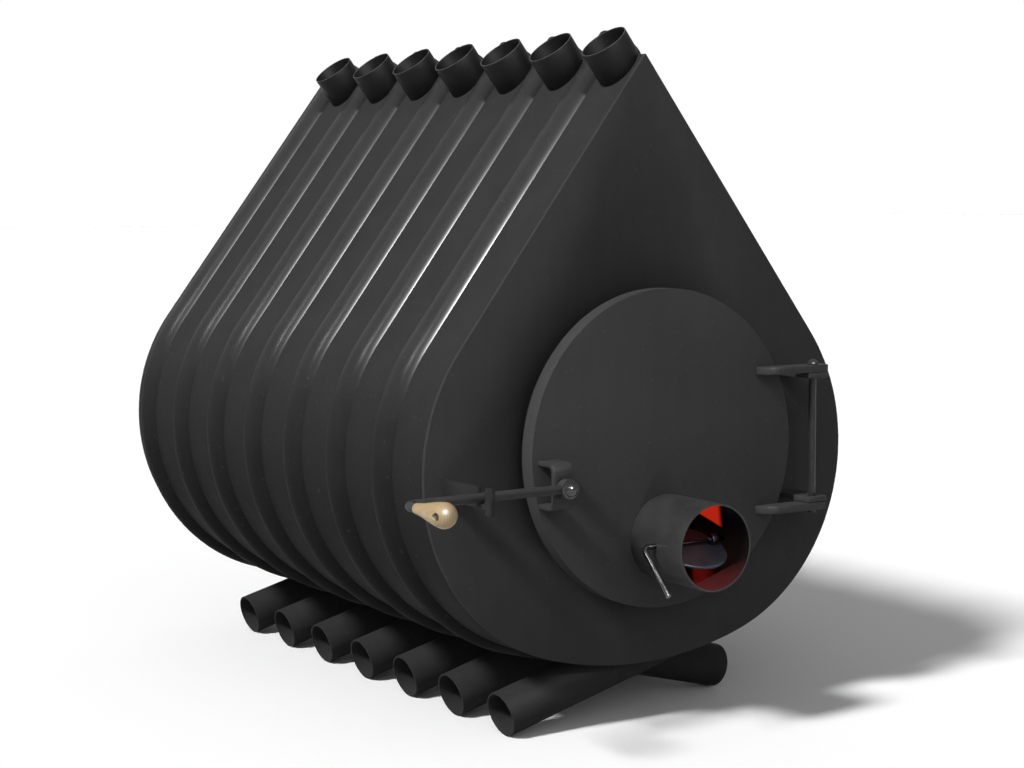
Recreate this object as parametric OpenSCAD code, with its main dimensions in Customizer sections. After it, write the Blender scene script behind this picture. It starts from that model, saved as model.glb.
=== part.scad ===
// Hot air stove with two rows of free-flow air tubes
// Stove frame: X to the right, Y to the back, Z up, millimetres. The front plate's outer face is
// at Y = 0, the floor at Z = 0 and the middle of the stove at X = 0. placed() moves every node so
// that the origin is the middle of the bounding box's bottom.

/* [Body outline] */
// Distance of each side round's centre from the middle
side_centre_x = 79; // [70:1:90]
// Height of the side rounds' centres
side_centre_z = 350; // [346:1:356]
// Radius of the side rounds
side_r = 257.5; // [250:0.5:265]
// Radius of the round bottom
bottom_r = 521; // [500:1:540]
// Slope of the two roof sides above the horizontal, in degrees
roof_angle = 52.62; // [51:0.01:54]
// Thickness of the front and the back plate
plate_t = 6; // [4:0.5:8]
// Thickness of the casing strips between the tubes
strip_t = 4; // [3:0.5:5]
// Gap that a weld fills between two fixed pieces
weld_gap = 0.3; // [0.2:0.05:0.5]
// Distance from the middle at which the casing strips end under the stove
strip_end_x = 20; // [10:1:30]

/* [Air tubes] */
// Number of tubes in each of the two rows
tubes_per_row = 7; // [7:1:7]
// Outside diameter of the tubes
tube_od = 60.3; // [58:0.1:61]
// Wall of the tubes
tube_wall = 2.6; // [2:0.1:3.2]
// Distance from a tube of one row to the next tube of the other row
tube_pitch = 62; // [61.8:0.1:62.4]
// Depth of the first tube's axis behind the front plate's face, and of the last in front of the back
first_tube_y = 43.4; // [43:0.1:44]
// Depth of the tubes' axes under the body's outline
tube_inset = 18.5; // [17.5:0.5:20]
// Slope of the lower legs, in degrees
leg_slope = 14.8; // [14:0.1:15.5]

/* [Outlet sleeves] */
// Outside diameter of the sleeves
sleeve_od = 64.6; // [64:0.1:66]
// Gap between a sleeve and its tube
sleeve_gap = 0.2; // [0.1:0.05:0.3]
// Length of a sleeve's axis above the roof side
sleeve_rise = 40.2; // [36:0.1:44]
// Free depth of a sleeve above the end of its tube
sleeve_socket = 20; // [15:1:25]
// Wall left around the socket that takes a duct
socket_wall = 1.3; // [1.2:0.05:1.4]

/* [Door] */
// Height of the door's centre
door_z = 370; // [365:1:375]
// Radius of the door
door_r = 207.1; // [200:0.1:210]
// Distance of the door's face in front of the front plate
door_face_y = 44.2; // [42:0.1:46]
// Thickness of the door's steel
door_t = 6; // [5:0.5:7]
// Depth of the door with its rim
door_rim_depth = 23; // [20:0.5:25]
// Chamfer around the door's face
door_chamfer = 1.5; // [1:0.1:2]
// Outside radius of the frame ring that the door closes on
ring_r = 194; // [190:1:195]
// Wall of the frame ring
ring_wall = 6; // [5:0.5:8]
// Distance that the frame ring stands out of the front plate
ring_out = 25.5; // [24:0.1:26]
// Distance that the frame ring reaches inside, measured from the front plate's face
ring_in = 12; // [10:1:20]
// Thickness of the rope seal
rope_d = 12; // [10:0.5:12.5]
// Wall of the channel that holds the rope seal
channel_wall = 1.5; // [1:0.1:2]
// Depth of the rope seal's channel
channel_depth = 7.5; // [5:0.5:8]
// Radius of the heat shield behind the door
shield_r = 165; // [150:1:168]
// Thickness of the heat shield
shield_t = 4; // [3:0.5:5]
// Gap between the door's steel and the heat shield
shield_gap = 24; // [20:0.5:26]
// Radius of the bolt circle of the heat shield's studs
stud_circle_r = 135; // [120:1:145]
// Number of studs
stud_count = 4; // [4:1:4]
// Radius of a stud's spacer
stud_r = 8; // [6:0.5:10]
// Radius of a stud's thread
stud_thread_r = 4; // [3:0.5:5]
// Distance across the flats of the nuts
nut_across = 15; // [13:0.5:17]
// Height of the nuts
nut_t = 6.5; // [5:0.5:8]

/* [Air inlet] */
// Height of the inlet's axis
inlet_z = 255.3; // [250:0.1:260]
// Outside diameter of the inlet tube
inlet_od = 112; // [105:0.5:115]
// Wall of the inlet tube
inlet_wall = 3; // [2:0.1:4]
// Distance of the inlet's front end in front of the front plate
inlet_front_y = 148.3; // [140:0.1:155]
// Distance of the damper's shaft in front of the front plate
damper_y = 95.2; // [94:0.1:98]
// Radius of the damper's disc
damper_r = 50.5; // [48:0.1:51]
// Thickness of the damper's disc
damper_t = 4; // [3:0.5:5]
// Distance of the disc's middle plane below the rod's axis
damper_drop = 8.5; // [8:0.1:9]
// Tilt of the damper's disc at rest, in degrees, front edge down
damper_tilt = 22; // [15:1:28]
// Diameter of the damper's rod
damper_rod_d = 7.5; // [7:0.1:8]
// Wall around the rod in the damper's disc
damper_hub_wall = 3.5; // [3.3:0.1:4]
// Distance of the lever from the middle
lever_x = 74.5; // [70:0.5:80]
// Bend radius of the lever's corner
lever_bend_r = 9; // [8:0.5:10]
// Length of the lever from the shaft's axis to its end
lever_length = 76; // [70:0.5:80]
// Direction of the lever below the horizontal, in degrees
lever_angle = 45; // [40:1:50]
// Length of rod that stands out on the side without the lever
damper_rod_out = 8; // [6:0.5:10]

/* [Hinge] */
// Distance of the hinge pin's axis from the door's rim
pin_gap = 30.4; // [29:0.1:32]
// Diameter of the hinge pin
pin_d = 10; // [9:0.5:11]
// Depth of the hinge arms and lugs at the pin, front to back
arm_depth = 25; // [24:0.5:26]
// Thickness of each arm
arm_t = 10; // [9:0.5:11]
// Thickness of each lug
lug_t = 7.5; // [7:0.5:9]
// Distance of the arms' outer faces above and below the door's centre
arm_reach_z = 98; // [95:1:100]
// Distance from the middle to the left end of the arms
arm_x0 = 149; // [140:1:155]
// Width of the lugs, and of the arms' ends around the pin
lug_w = 34; // [32:0.5:36]
// Gap that lets a moving piece turn on its pin
running_gap = 0.06; // [0.02:0.01:0.1]
// Gap between an arm and its lug
turn_gap = 0.3; // [0.2:0.05:0.5]
// Diameter of the pin's dome head
pin_head_d = 16.5; // [15:0.5:18]
// Height of the pin's dome head
pin_head_t = 6.5; // [5:0.5:8]

/* [Latch] */
// Distance of the latch's pivot from the middle
pivot_x = 184; // [180:0.5:188]
// Height of the pivot below the door's centre
pivot_drop = 31.5; // [30:0.5:33]
// Width of the bow that carries the pivot
bow_w = 30; // [28:0.5:32]
// Height of the bow
bow_h = 60; // [58:0.5:62]
// Distance of the bow's middle above the pivot
bow_rise = 1.25; // [1:0.05:2]
// Distance of the bow's front face in front of the door
bow_out = 35.5; // [34:0.1:36]
// Thickness of the bow
bow_t = 6; // [5:0.5:7]
// Outside corner radius of the bow
bow_r = 12; // [10:0.5:14]
// Diameter of the latch rod
rod_d = 12; // [11:0.5:12]
// Gap between the bow and the latch rod
rod_gap = 0.5; // [0.4:0.1:0.6]
// Distance from the middle to the rod's corner, where the handle starts
handle_x = 412; // [405:1:418]
// Bend radius of the rod's corner
rod_bend_r = 14; // [12:0.5:16]
// Diameter of the pivot bolt
bolt_d = 10; // [9:0.5:10]
// Outside diameter of the rod's eye and of the washer
eye_d = 24; // [22:0.5:26]
// Thickness of the rod's eye
eye_t = 11.4; // [10:0.1:11.6]
// Thickness of the washer
washer_t = 2.5; // [2:0.5:3]
// Radius of the bolt's dome head
dome_r = 9; // [8:0.5:10]
// Distance of the wooden handle's back end in front of the front plate
handle_back_y = 112; // [110:0.5:116]
// Length of the wooden handle
handle_length = 76.5; // [72:0.5:80]
// Diameter of the handle at its back end
handle_d0 = 13; // [12:0.5:14]
// Diameter of the handle at its thick end
handle_d1 = 31; // [29:0.5:33]
// Diameter of the rod's tang in the handle
tang_d = 6.5; // [6:0.5:7]
// Diameter of the recess for the screw that holds the handle
handle_screw_d = 9.5; // [9:0.5:10]
// Distance of the screw behind the handle's front end
screw_back = 11; // [10:0.5:13]
// Depth of the recess for the screw
screw_recess = 4; // [3:0.5:5]

/* [Catch] */
// Distance from the middle to the catch's inner face
catch_x = 304; // [300:1:310]
// Thickness of the catch
catch_t = 6; // [5:0.5:7]
// Height of the catch's top edge above the pivot
catch_top = 13; // [12:0.5:15]
// Height of the catch's bar
catch_h = 26; // [24:0.5:28]
// Width of the slot for the rod
slot_w = 17; // [16:0.5:18]
// Depth of the catch's finger in front of the slot
finger_w = 14; // [12:0.5:15]
// Length that the finger hangs below the bar
finger_drop = 7; // [5:0.5:9]

/* [Flue] */
// Height of the flue collar's axis
flue_z = 590; // [570:1:610]
// Outside diameter of the flue collar
flue_od = 150; // [148:0.5:152]
// Wall of the flue collar
flue_wall = 3; // [2:0.5:4]
// Length of the collar behind the back plate
flue_length = 125; // [122:1:140]
// Length of the spigot at the collar's end, over which the flue pipe slides
spigot_length = 40; // [30:1:45]
// Step from the collar down to the spigot
spigot_step = 1; // [0.5:0.1:1.5]
// Distance of the flue damper's shaft from the back plate
flue_damper_y = 52; // [50:1:54]
// Radius of the flue damper's disc
flue_damper_r = 68; // [66:0.5:69]
// Diameter of the flue damper's shaft
flue_rod_d = 8; // [7:0.5:9]
// Length of the flue damper's shaft outside the collar on the handle's side
flue_rod_out = 32; // [28:1:36]
// Length of the flue damper's handle
flue_handle_length = 60; // [50:1:70]

/* [Baffle] */
// Height of the baffle's underside
baffle_z = 560; // [540:1:580]
// Thickness of the baffle
baffle_t = 6; // [5:0.5:8]
// Free depth between the baffle's back end and the back plate
baffle_back_gap = 180; // [150:5:220]
// Gap between the baffle and the tubes beside it
baffle_side_gap = 5; // [3:0.5:8]
// Width of the two bars that carry the baffle
rail_w = 8; // [6:0.5:10]
// Height of the two bars
rail_h = 30; // [20:1:40]

/* [Hidden] */
$fn = 96;

// How far a cut runs past the faces that it opens
cut_over = tube_wall;
// Straight pieces reach this far into the round ones that they are welded to
lap = weld_gap * 2;
// Step between a straight piece's face and a round piece's face where they join
joint_step = weld_gap / 8;
// Length that is certain to pass the body's outline
reach = 2 * side_r;

// Unit normal of the right roof side, and the angle at which the side round meets it
roof_nx = sin(roof_angle);
roof_nz = cos(roof_angle);
roof_round = 90 - roof_angle;

// The round bottom touches both side rounds from outside
bottom_z = side_centre_z + sqrt(pow(bottom_r - side_r, 2) - pow(side_centre_x, 2));
bottom_round = atan2(side_centre_z - bottom_z, side_centre_x);
lap_angle = lap / bottom_r * 180 / PI;
side_centre = [side_centre_x, side_centre_z];
bottom_centre = [0, bottom_z];
apex_z = apex_height(0);

// Air tubes: centre line round the side, straight up along the roof side, straight down at a slope
// Depth from the front plate's face to the back plate's face
body_depth = 2 * first_tube_y + (2 * tubes_per_row - 1) * tube_pitch;
tube_r = tube_od / 2;
tube_bend_r = side_r - tube_inset;
leg_round = leg_slope - 90;
bend_angle = roof_round - leg_round;
leg_top_x = side_centre_x + tube_bend_r * sin(leg_slope);
leg_top_z = side_centre_z - tube_bend_r * cos(leg_slope);
leg_length = (leg_top_z - tube_r * cos(leg_slope)) / sin(leg_slope);
arm_foot_x = side_centre_x + tube_bend_r * roof_nx;
arm_foot_z = side_centre_z + tube_bend_r * roof_nz;
// Length of the upper straight up to the plane of the opposite roof side
ridge_length = (roof_nx * arm_foot_x + (apex_z - arm_foot_z) * roof_nz) / (2 * roof_nx * roof_nz);
sleeve_r = sleeve_od / 2;
sleeve_bore_r = tube_r + sleeve_gap;
socket_r = sleeve_r - socket_wall;
upper_length = ridge_length + sleeve_rise - sleeve_socket;
// Length of sleeve below the roof side, cut off along the side
sleeve_sink = sleeve_r;

// Casing strips end where a tube's round is as wide as the strip's inner face is deep
strip_edge = sqrt(pow(tube_r, 2) - pow(tube_inset - strip_t, 2)) + weld_gap;
strips_per_row = tubes_per_row + 1;
back_inner_y = body_depth - plate_t;

// Depth of the axis of tube k of a row
function right_y(k) = first_tube_y + 2 * tube_pitch * k;
function left_y(k) = right_y(k) + tube_pitch;
// Height of the point where the two roof sides meet, at a depth under the outline
function apex_height(depth) =
    side_centre_z + (side_r - depth + side_centre_x * roof_nx) / roof_nz;
// Half width of the body at a height of its roof, at a depth under the outline
function roof_half_width(z, depth) =
    side_centre_x + (side_r - depth - (z - side_centre_z) * roof_nz) / roof_nx;
// Lower end of the straight roof side, at a depth under the outline, with the lap
function roof_point(depth) =
    polar(side_centre, roof_round, side_r - depth) + lap * [roof_nz, -roof_nx];
// Point at an angle and a distance from a centre
function polar(centre, angle, radius) = centre + radius * [cos(angle), sin(angle)];

// Door and hinge
door_back_y = -door_face_y + door_rim_depth;
door_inner_y = -door_face_y + door_t;
ring_bore_r = ring_r - ring_wall;
rope_centre_r = ring_r - ring_wall / 2;
shield_y = door_inner_y + shield_gap;
inlet_r = inlet_od / 2;
inlet_bore_r = inlet_r - inlet_wall;
inlet_back_y = door_inner_y + inlet_wall;
pin_r = pin_d / 2;
pin_x = door_r + pin_gap;
pin_y = -door_face_y - arm_depth / 2;
lug_reach_z = arm_reach_z - arm_t - turn_gap;
lug_x0 = pin_x - lug_w / 2;
lug_x1 = pin_x + lug_w / 2;

// Latch
pivot_z = door_z - pivot_drop;
bow_front_y = -door_face_y - bow_out;
rod_r = rod_d / 2;
rod_y = bow_front_y - rod_gap - rod_r;
bolt_r = bolt_d / 2;
washer_y = rod_y - rod_r - turn_gap;
bow_x0 = -pivot_x - bow_w / 2;
tang_r = tang_d / 2;
handle_front_y = -handle_back_y - handle_length;
handle_r1 = handle_d1 / 2;
tang_end_y = handle_front_y + handle_r1 / 2;
screw_y = handle_front_y + screw_back;
screw_r = handle_screw_d / 4;

// Damper and flue
damper_rod_r = damper_rod_d / 2;
damper_hub_r = damper_rod_r + damper_hub_wall;
flue_r = flue_od / 2;
flue_bore_r = flue_r - flue_wall;
flue_end_y = body_depth + flue_length;
flue_rod_r = flue_rod_d / 2;
flue_shaft_y = body_depth + flue_damper_y;

// Baffle: it lies between the tubes and starts behind the door's frame ring
baffle_front_y = ring_in + baffle_side_gap;
baffle_half = roof_half_width(baffle_z + baffle_t, tube_inset + tube_r + baffle_side_gap);
rail_x = baffle_half - rail_w - baffle_side_gap;

// Bounding box: handle on the left, tubes on the right, handle in front, flue collar behind
box_x0 = -handle_x - handle_r1;
box_x1 = side_centre_x + tube_bend_r + tube_r;
box_mid_x = (box_x0 + box_x1) / 2;
box_mid_y = (handle_front_y + flue_end_y) / 2;

steel = [0.2, 0.2, 0.21];
dark_steel = [0.1, 0.1, 0.1];
bright_steel = [0.62, 0.62, 0.64];
rope_grey = [0.5, 0.48, 0.44];
wood = [0.87, 0.72, 0.47];
disc_grey = [0.32, 0.29, 0.34];

row_names = ["right", "left"];

// Moves a node from the stove frame to the origin of the whole part
module placed() {
    translate([-box_mid_x, -box_mid_y, 0])
    children();
}

// Extrudes an X-Z outline from depth y0 to depth y1
module slab(y0, y1) {
    translate([0, y1, 0])
    rotate([90, 0, 0])
    linear_extrude(height = y1 - y0)
    children();
}

// Turns a shape built along +Z so that it runs along +Y from [x, y, z]
module along_y(x, y, z) {
    translate([x, y, z])
    rotate([-90, 0, 0])
    children();
}

// Turns a shape built along +Z so that it runs along +X from [x, y, z]
module along_x(x, y, z) {
    translate([x, y, z])
    rotate([0, 90, 0])
    children();
}

// Runs a shape built along +Z in the X-Z plane, at an angle above +X
module along_angle(x, y, z, angle) {
    translate([x, y, z])
    rotate([0, 90 - angle, 0])
    children();
}

module ring_2d(outer, inner) {
    difference() {
        circle(r = outer);
        circle(r = inner);
    }
}

// Slice between two angles that holds all within a radius
module wedge_2d(centre, radius, from, to) {
    far = radius / cos((to - from) / 4) + cut_over;
    polygon([
        centre,
        polar(centre, from, far),
        polar(centre, (from + to) / 2, far),
        polar(centre, to, far)
    ]);
}

// Right half of the body seen from the front: roof side, side round and half of the round bottom
module outline_half(y0, y1) {
    slab(y0, y1)
    polygon([
        [0, apex_height(joint_step)],
        roof_point(joint_step),
        side_centre,
        bottom_centre
    ]);

    slab(y0, y1)
    intersection() {
        translate(side_centre)
        circle(r = side_r);
        wedge_2d(side_centre - [lap, lap], side_r, bottom_round, roof_round);
    }

    slab(y0, y1)
    intersection() {
        translate(bottom_centre)
        circle(r = bottom_r - joint_step);
        wedge_2d(bottom_centre, bottom_r, -90, bottom_round + lap_angle);
    }
}

// The whole outline as a plate from depth y0 to depth y1
module outline_plate(y0, y1) {
    outline_half(y0, y1);
    mirror([1, 0, 0])
    outline_half(y0, y1);
}

// Right half of the casing's wall, open under the stove where the tubes are the floor
module casing_half(y0, y1, end_x) {
    end_angle = asin(end_x / bottom_r) - 90;
    ridge_x = weld_gap / 2;
    ridge_fall = [ridge_x, -ridge_x * roof_nx / roof_nz];

    slab(y0, y1)
    polygon([
        [0, apex_height(joint_step)] + ridge_fall,
        roof_point(joint_step),
        roof_point(strip_t - joint_step),
        [0, apex_height(strip_t - joint_step)] + ridge_fall
    ]);

    slab(y0, y1)
    intersection() {
        translate(side_centre)
        ring_2d(side_r, side_r - strip_t);
        wedge_2d(side_centre, side_r, bottom_round, roof_round);
    }

    slab(y0, y1)
    intersection() {
        translate(bottom_centre)
        ring_2d(bottom_r - joint_step, bottom_r - strip_t + joint_step);
        wedge_2d(bottom_centre, bottom_r, end_angle, bottom_round + lap_angle);
    }
}

// Solid legs of one tube of the right row, with room for the weld, to cut the strips
module leg_room(y) {
    along_angle(leg_top_x, y, leg_top_z, 180 + leg_slope)
    cylinder(r = tube_r + weld_gap, h = leg_length);
}

module upper_room(y) {
    along_angle(arm_foot_x, y, arm_foot_z, 180 - roof_angle)
    cylinder(r = tube_r + weld_gap, h = ridge_length + sleeve_rise);
}

// One strip of the right side, which ends at end_x under the stove: own_ys are the depths of
// the tubes beside it, cross_ys those of the tubes through it
module casing_strip(y0, y1, end_x, own_ys, cross_ys) {
    difference() {
        union()
            casing_half(y0, y1, end_x);
        for (y = own_ys)
            leg_room(y);
        for (y = cross_ys)
            mirror([1, 0, 0]) {
                leg_room(y);
                upper_room(y);
            }
    }
}

// The strips next to the plates meet in the middle, where no tube closes the floor
function strip_end(i) = i == 0 || i == tubes_per_row ? weld_gap / 2 : strip_end_x;
// Those of a list of tube numbers that exist
function existing(numbers) = [for (k = numbers) if (k >= 0 && k < tubes_per_row) k];

module right_casing_strip(i) {
    y0 = i == 0 ? plate_t : right_y(i - 1) + strip_edge;
    y1 = i == tubes_per_row ? back_inner_y : right_y(i) - strip_edge;
    color(steel)
    casing_strip(
        y0, y1, strip_end(i),
        [for (k = existing([i - 1, i])) right_y(k)],
        [for (k = existing([i - 1])) left_y(k)]);
}

module left_casing_strip(i) {
    y0 = i == 0 ? plate_t : left_y(i - 1) + strip_edge;
    y1 = i == tubes_per_row ? back_inner_y : left_y(i) - strip_edge;
    color(steel)
    mirror([1, 0, 0])
    casing_strip(
        y0, y1, strip_end(i),
        [for (k = existing([i - 1, i])) left_y(k)],
        [for (k = existing([i])) right_y(k)]);
}

// Straight piece of tube along an angle, reaching back into the bend by the lap
module straight_tube(x, y, z, angle, length) {
    along_angle(x, y, z, angle)
    translate([0, 0, -lap])
    linear_extrude(height = length + lap)
    ring_2d(tube_r, tube_r - tube_wall);
}

// Tube from its lower mouth, round the side of the firebox and out through the opposite roof
module air_tube(y) {
    color(steel)
    union() {
        straight_tube(leg_top_x, y, leg_top_z, 180 + leg_slope, leg_length);
        straight_tube(arm_foot_x, y, arm_foot_z, 180 - roof_angle, upper_length);

        translate([side_centre_x, y, side_centre_z])
        rotate([90, 0, 0])
        rotate([0, 0, leg_round])
        rotate_extrude(angle = bend_angle)
        translate([tube_bend_r, 0])
        ring_2d(tube_r - joint_step, tube_r - tube_wall + joint_step);
    }
}

module right_air_tube(k) {
    air_tube(right_y(k));
}

module left_air_tube(k) {
    mirror([1, 0, 0])
    air_tube(left_y(k));
}

// Sleeve over the upper end of a right tube, cut off along the left roof side
module outlet_sleeve(y) {
    start = ridge_length - sleeve_sink;
    difference() {
        along_angle(arm_foot_x, y, arm_foot_z, 180 - roof_angle)
        translate([0, 0, start])
        linear_extrude(height = sleeve_sink + sleeve_rise)
        ring_2d(sleeve_r, sleeve_bore_r);

        along_angle(arm_foot_x, y, arm_foot_z, 180 - roof_angle)
        translate([0, 0, upper_length])
        cylinder(r = socket_r, h = sleeve_socket + cut_over);

        slab(y - sleeve_od, y + sleeve_od)
        polygon([
            polar([0, apex_z + weld_gap], 180 + roof_angle, reach),
            polar([0, apex_z + weld_gap], roof_angle, reach),
            [reach, 0]
        ]);
    }
}

module right_outlet_sleeves() {
    color(dark_steel)
    for (k = [0:tubes_per_row - 1])
        outlet_sleeve(right_y(k));
}

module left_outlet_sleeves() {
    color(dark_steel)
    mirror([1, 0, 0])
    for (k = [0:tubes_per_row - 1])
        outlet_sleeve(left_y(k));
}

module front_plate() {
    color(steel)
    difference() {
        outline_plate(0, plate_t);
        along_y(0, -cut_over, door_z)
        cylinder(r = ring_r + weld_gap, h = plate_t + 2 * cut_over);
    }
}

module back_plate() {
    color(steel)
    difference() {
        outline_plate(back_inner_y, body_depth);
        along_y(0, back_inner_y - cut_over, flue_z)
        cylinder(r = flue_bore_r, h = plate_t + 2 * cut_over);
    }
}

// Neck in the front plate that the door's rope seal presses on
module door_frame_ring() {
    color(dark_steel)
    along_y(0, -ring_out, door_z)
    linear_extrude(height = ring_out + ring_in)
    ring_2d(ring_r, ring_bore_r);
}

module inlet_room(y0, y1, radius) {
    along_y(0, y0, inlet_z)
    cylinder(r = radius, h = y1 - y0);
}

// Dished door: round face with a rim
module door_panel() {
    color(steel)
    difference() {
        along_y(0, -door_face_y, door_z)
        rotate_extrude()
        polygon([
            [0, 0],
            [door_r - door_chamfer, 0],
            [door_r, door_chamfer],
            [door_r, door_rim_depth],
            [door_r - door_t, door_rim_depth],
            [door_r - door_t, door_t],
            [0, door_t]
        ]);
        inlet_room(-door_face_y - cut_over, door_inner_y + cut_over, inlet_r + weld_gap);
    }
}

// U-shaped ring inside the door that holds the rope seal
module rope_channel() {
    half_w = rope_d / 2 + turn_gap;
    color(dark_steel)
    along_y(0, door_inner_y, door_z)
    rotate_extrude()
    translate([rope_centre_r, 0])
    difference() {
        translate([-half_w - channel_wall, 0])
        square([2 * (half_w + channel_wall), channel_depth]);
        translate([-half_w, channel_wall])
        square([2 * half_w, channel_depth]);
    }
}

module rope_seal() {
    rope_room = door_face_y - ring_out - door_t - channel_wall;
    color(rope_grey)
    along_y(0, door_inner_y + channel_wall, door_z)
    rotate_extrude()
    translate([rope_centre_r, rope_room / 2])
    circle(r = (rope_room - turn_gap) / 2);
}

// Inner plate that keeps the fire off the door, with a hole for the air
module heat_shield() {
    color(dark_steel)
    difference() {
        along_y(0, shield_y, door_z)
        cylinder(r = shield_r, h = shield_t);
        inlet_room(shield_y - cut_over, shield_y + shield_t + cut_over, inlet_bore_r / 2);
        for (i = [0:stud_count - 1])
            stud_place(i)
            translate([0, 0, shield_y - cut_over])
            cylinder(r = stud_thread_r + weld_gap, h = shield_t + 2 * cut_over);
    }
}

// Places a shape built along +Z on stud i, with Z = 0 at the front plate's face
module stud_place(i) {
    along_y(0, 0, door_z)
    rotate([0, 0, 360 / stud_count * (i + 1 / 2)])
    translate([stud_circle_r, 0, 0])
    children();
}

// Studs welded inside the door, each with its spacer, thread and nut
module shield_studs() {
    color(bright_steel)
    for (i = [0:stud_count - 1])
        stud_place(i)
        union() {
            translate([0, 0, door_inner_y])
            cylinder(r = stud_r, h = shield_gap);
            translate([0, 0, shield_y - stud_r])
            cylinder(r = stud_thread_r, h = stud_r + shield_t + nut_t + stud_thread_r / 2);
            translate([0, 0, shield_y + shield_t])
            cylinder(d = nut_across / cos(30), h = nut_t, $fn = 6);
        }
}

// Air inlet tube through the door, with two holes for the damper's rod
module inlet_tube() {
    color(steel)
    difference() {
        along_y(0, -inlet_front_y, inlet_z)
        linear_extrude(height = inlet_front_y + inlet_back_y)
        ring_2d(inlet_r, inlet_bore_r);
        along_x(-inlet_r - cut_over, -damper_y, inlet_z)
        cylinder(r = damper_rod_r + running_gap, h = inlet_od + 2 * cut_over);
    }
}

// Round flap welded under a hub along the rod
module inlet_damper_disc() {
    hub_half = damper_r * cos(asin(damper_hub_r / damper_r)) - damper_hub_wall;
    color(disc_grey)
    translate([0, -damper_y, inlet_z])
    rotate([damper_tilt, 0, 0])
    difference() {
        union() {
            translate([0, 0, -damper_drop - damper_t / 2])
            cylinder(r = damper_r, h = damper_t);
            along_x(-hub_half, 0, 0)
            cylinder(r = damper_hub_r, h = 2 * hub_half);
        }
        along_x(-damper_r - cut_over, 0, 0)
        cylinder(r = damper_rod_r + running_gap, h = 2 * (damper_r + cut_over));
    }
}

// Rod through the flap, bent into a lever outside the inlet tube
module inlet_damper_rod() {
    color(bright_steel)
    translate([0, -damper_y, inlet_z])
    rotate([90 - lever_angle, 0, 0])
    union() {
        along_x(-lever_x + lever_bend_r, 0, 0)
        cylinder(r = damper_rod_r, h = lever_x - lever_bend_r + inlet_r + damper_rod_out);

        translate([-lever_x + lever_bend_r, -lever_bend_r, 0])
        rotate([0, 0, 90])
        rotate_extrude(angle = 90)
        translate([lever_bend_r, 0])
        circle(r = damper_rod_r);

        translate([-lever_x, -lever_bend_r, 0])
        rotate([90, 0, 0])
        cylinder(r = damper_rod_r, h = lever_length - lever_bend_r);
    }
}

// Arm on the door: straight bar whose left end rounds back to the door's face
module hinge_arm(z0) {
    difference() {
        translate([0, 0, z0])
        linear_extrude(height = arm_t)
        union() {
            intersection() {
                translate([arm_x0 + arm_depth, -door_face_y])
                circle(r = arm_depth);
                translate([arm_x0, -door_face_y - arm_depth])
                square(arm_depth);
            }
            translate([arm_x0 + arm_depth, -door_face_y - arm_depth])
            square([lug_x1 - arm_x0 - arm_depth, arm_depth]);
        }
        translate([pin_x, pin_y, z0 - cut_over])
        cylinder(r = pin_r + running_gap, h = arm_t + 2 * cut_over);
    }
}

module upper_hinge_arm() {
    color(steel)
    hinge_arm(door_z + arm_reach_z - arm_t);
}

module lower_hinge_arm() {
    color(steel)
    hinge_arm(door_z - arm_reach_z);
}

// Lug on the front plate
module hinge_lug(z0) {
    difference() {
        translate([lug_x0, -door_face_y - arm_depth, z0])
        cube([lug_w, door_face_y + arm_depth, lug_t]);
        translate([pin_x, pin_y, z0 - cut_over])
        cylinder(r = pin_r + running_gap, h = lug_t + 2 * cut_over);
    }
}

module upper_hinge_lug() {
    color(steel)
    hinge_lug(door_z + lug_reach_z - lug_t);
}

module lower_hinge_lug() {
    color(steel)
    hinge_lug(door_z - lug_reach_z);
}

// Pin through both arms and both lugs, with a dome head on top
module hinge_pin() {
    top_z = door_z + arm_reach_z + turn_gap;
    tip_z = door_z - arm_reach_z - pin_r;
    color(steel)
    translate([pin_x, pin_y, 0])
    union() {
        translate([0, 0, tip_z])
        cylinder(r = pin_r, h = top_z - tip_z);
        translate([0, 0, top_z])
        dome(pin_head_d / 2, pin_head_t);
    }
}

// Cap of a ball with a flat base, base_r wide and h high
module dome(base_r, h) {
    ball_r = (base_r * base_r + h * h) / (2 * h);
    intersection() {
        translate([0, 0, h - ball_r])
        sphere(r = ball_r);
        translate([-base_r - h, -base_r - h, 0])
        cube([2 * (base_r + h), 2 * (base_r + h), 2 * h]);
    }
}

// Rectangle from [y0, z0] to [y1, z1] whose two low-Y corners are round
module bow_outline_2d(y0, y1, z0, z1, radius) {
    translate([y0 + radius, z0])
    square([y1 - y0 - radius, z1 - z0]);
    translate([y0, z0 + radius])
    square([y1 - y0, z1 - z0 - 2 * radius]);
    translate([y0 + radius, z0 + radius])
    circle(r = radius);
    translate([y0 + radius, z1 - radius])
    circle(r = radius);
}

// Bent strap on the door that carries the latch's pivot
module latch_bow() {
    mid_z = pivot_z + bow_rise;
    color(steel)
    difference() {
        translate([bow_x0, 0, 0])
        rotate([90, 0, 90])
        linear_extrude(height = bow_w)
        difference() {
            bow_outline_2d(
                bow_front_y, -door_face_y, mid_z - bow_h / 2, mid_z + bow_h / 2, bow_r);
            bow_outline_2d(
                bow_front_y + bow_t, -door_face_y + cut_over,
                mid_z - bow_h / 2 + bow_t, mid_z + bow_h / 2 - bow_t, bow_r - bow_t);
        }
        along_y(-pivot_x, bow_front_y - cut_over, pivot_z)
        cylinder(r = bolt_r + weld_gap, h = bow_t + 2 * cut_over);
    }
}

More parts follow.
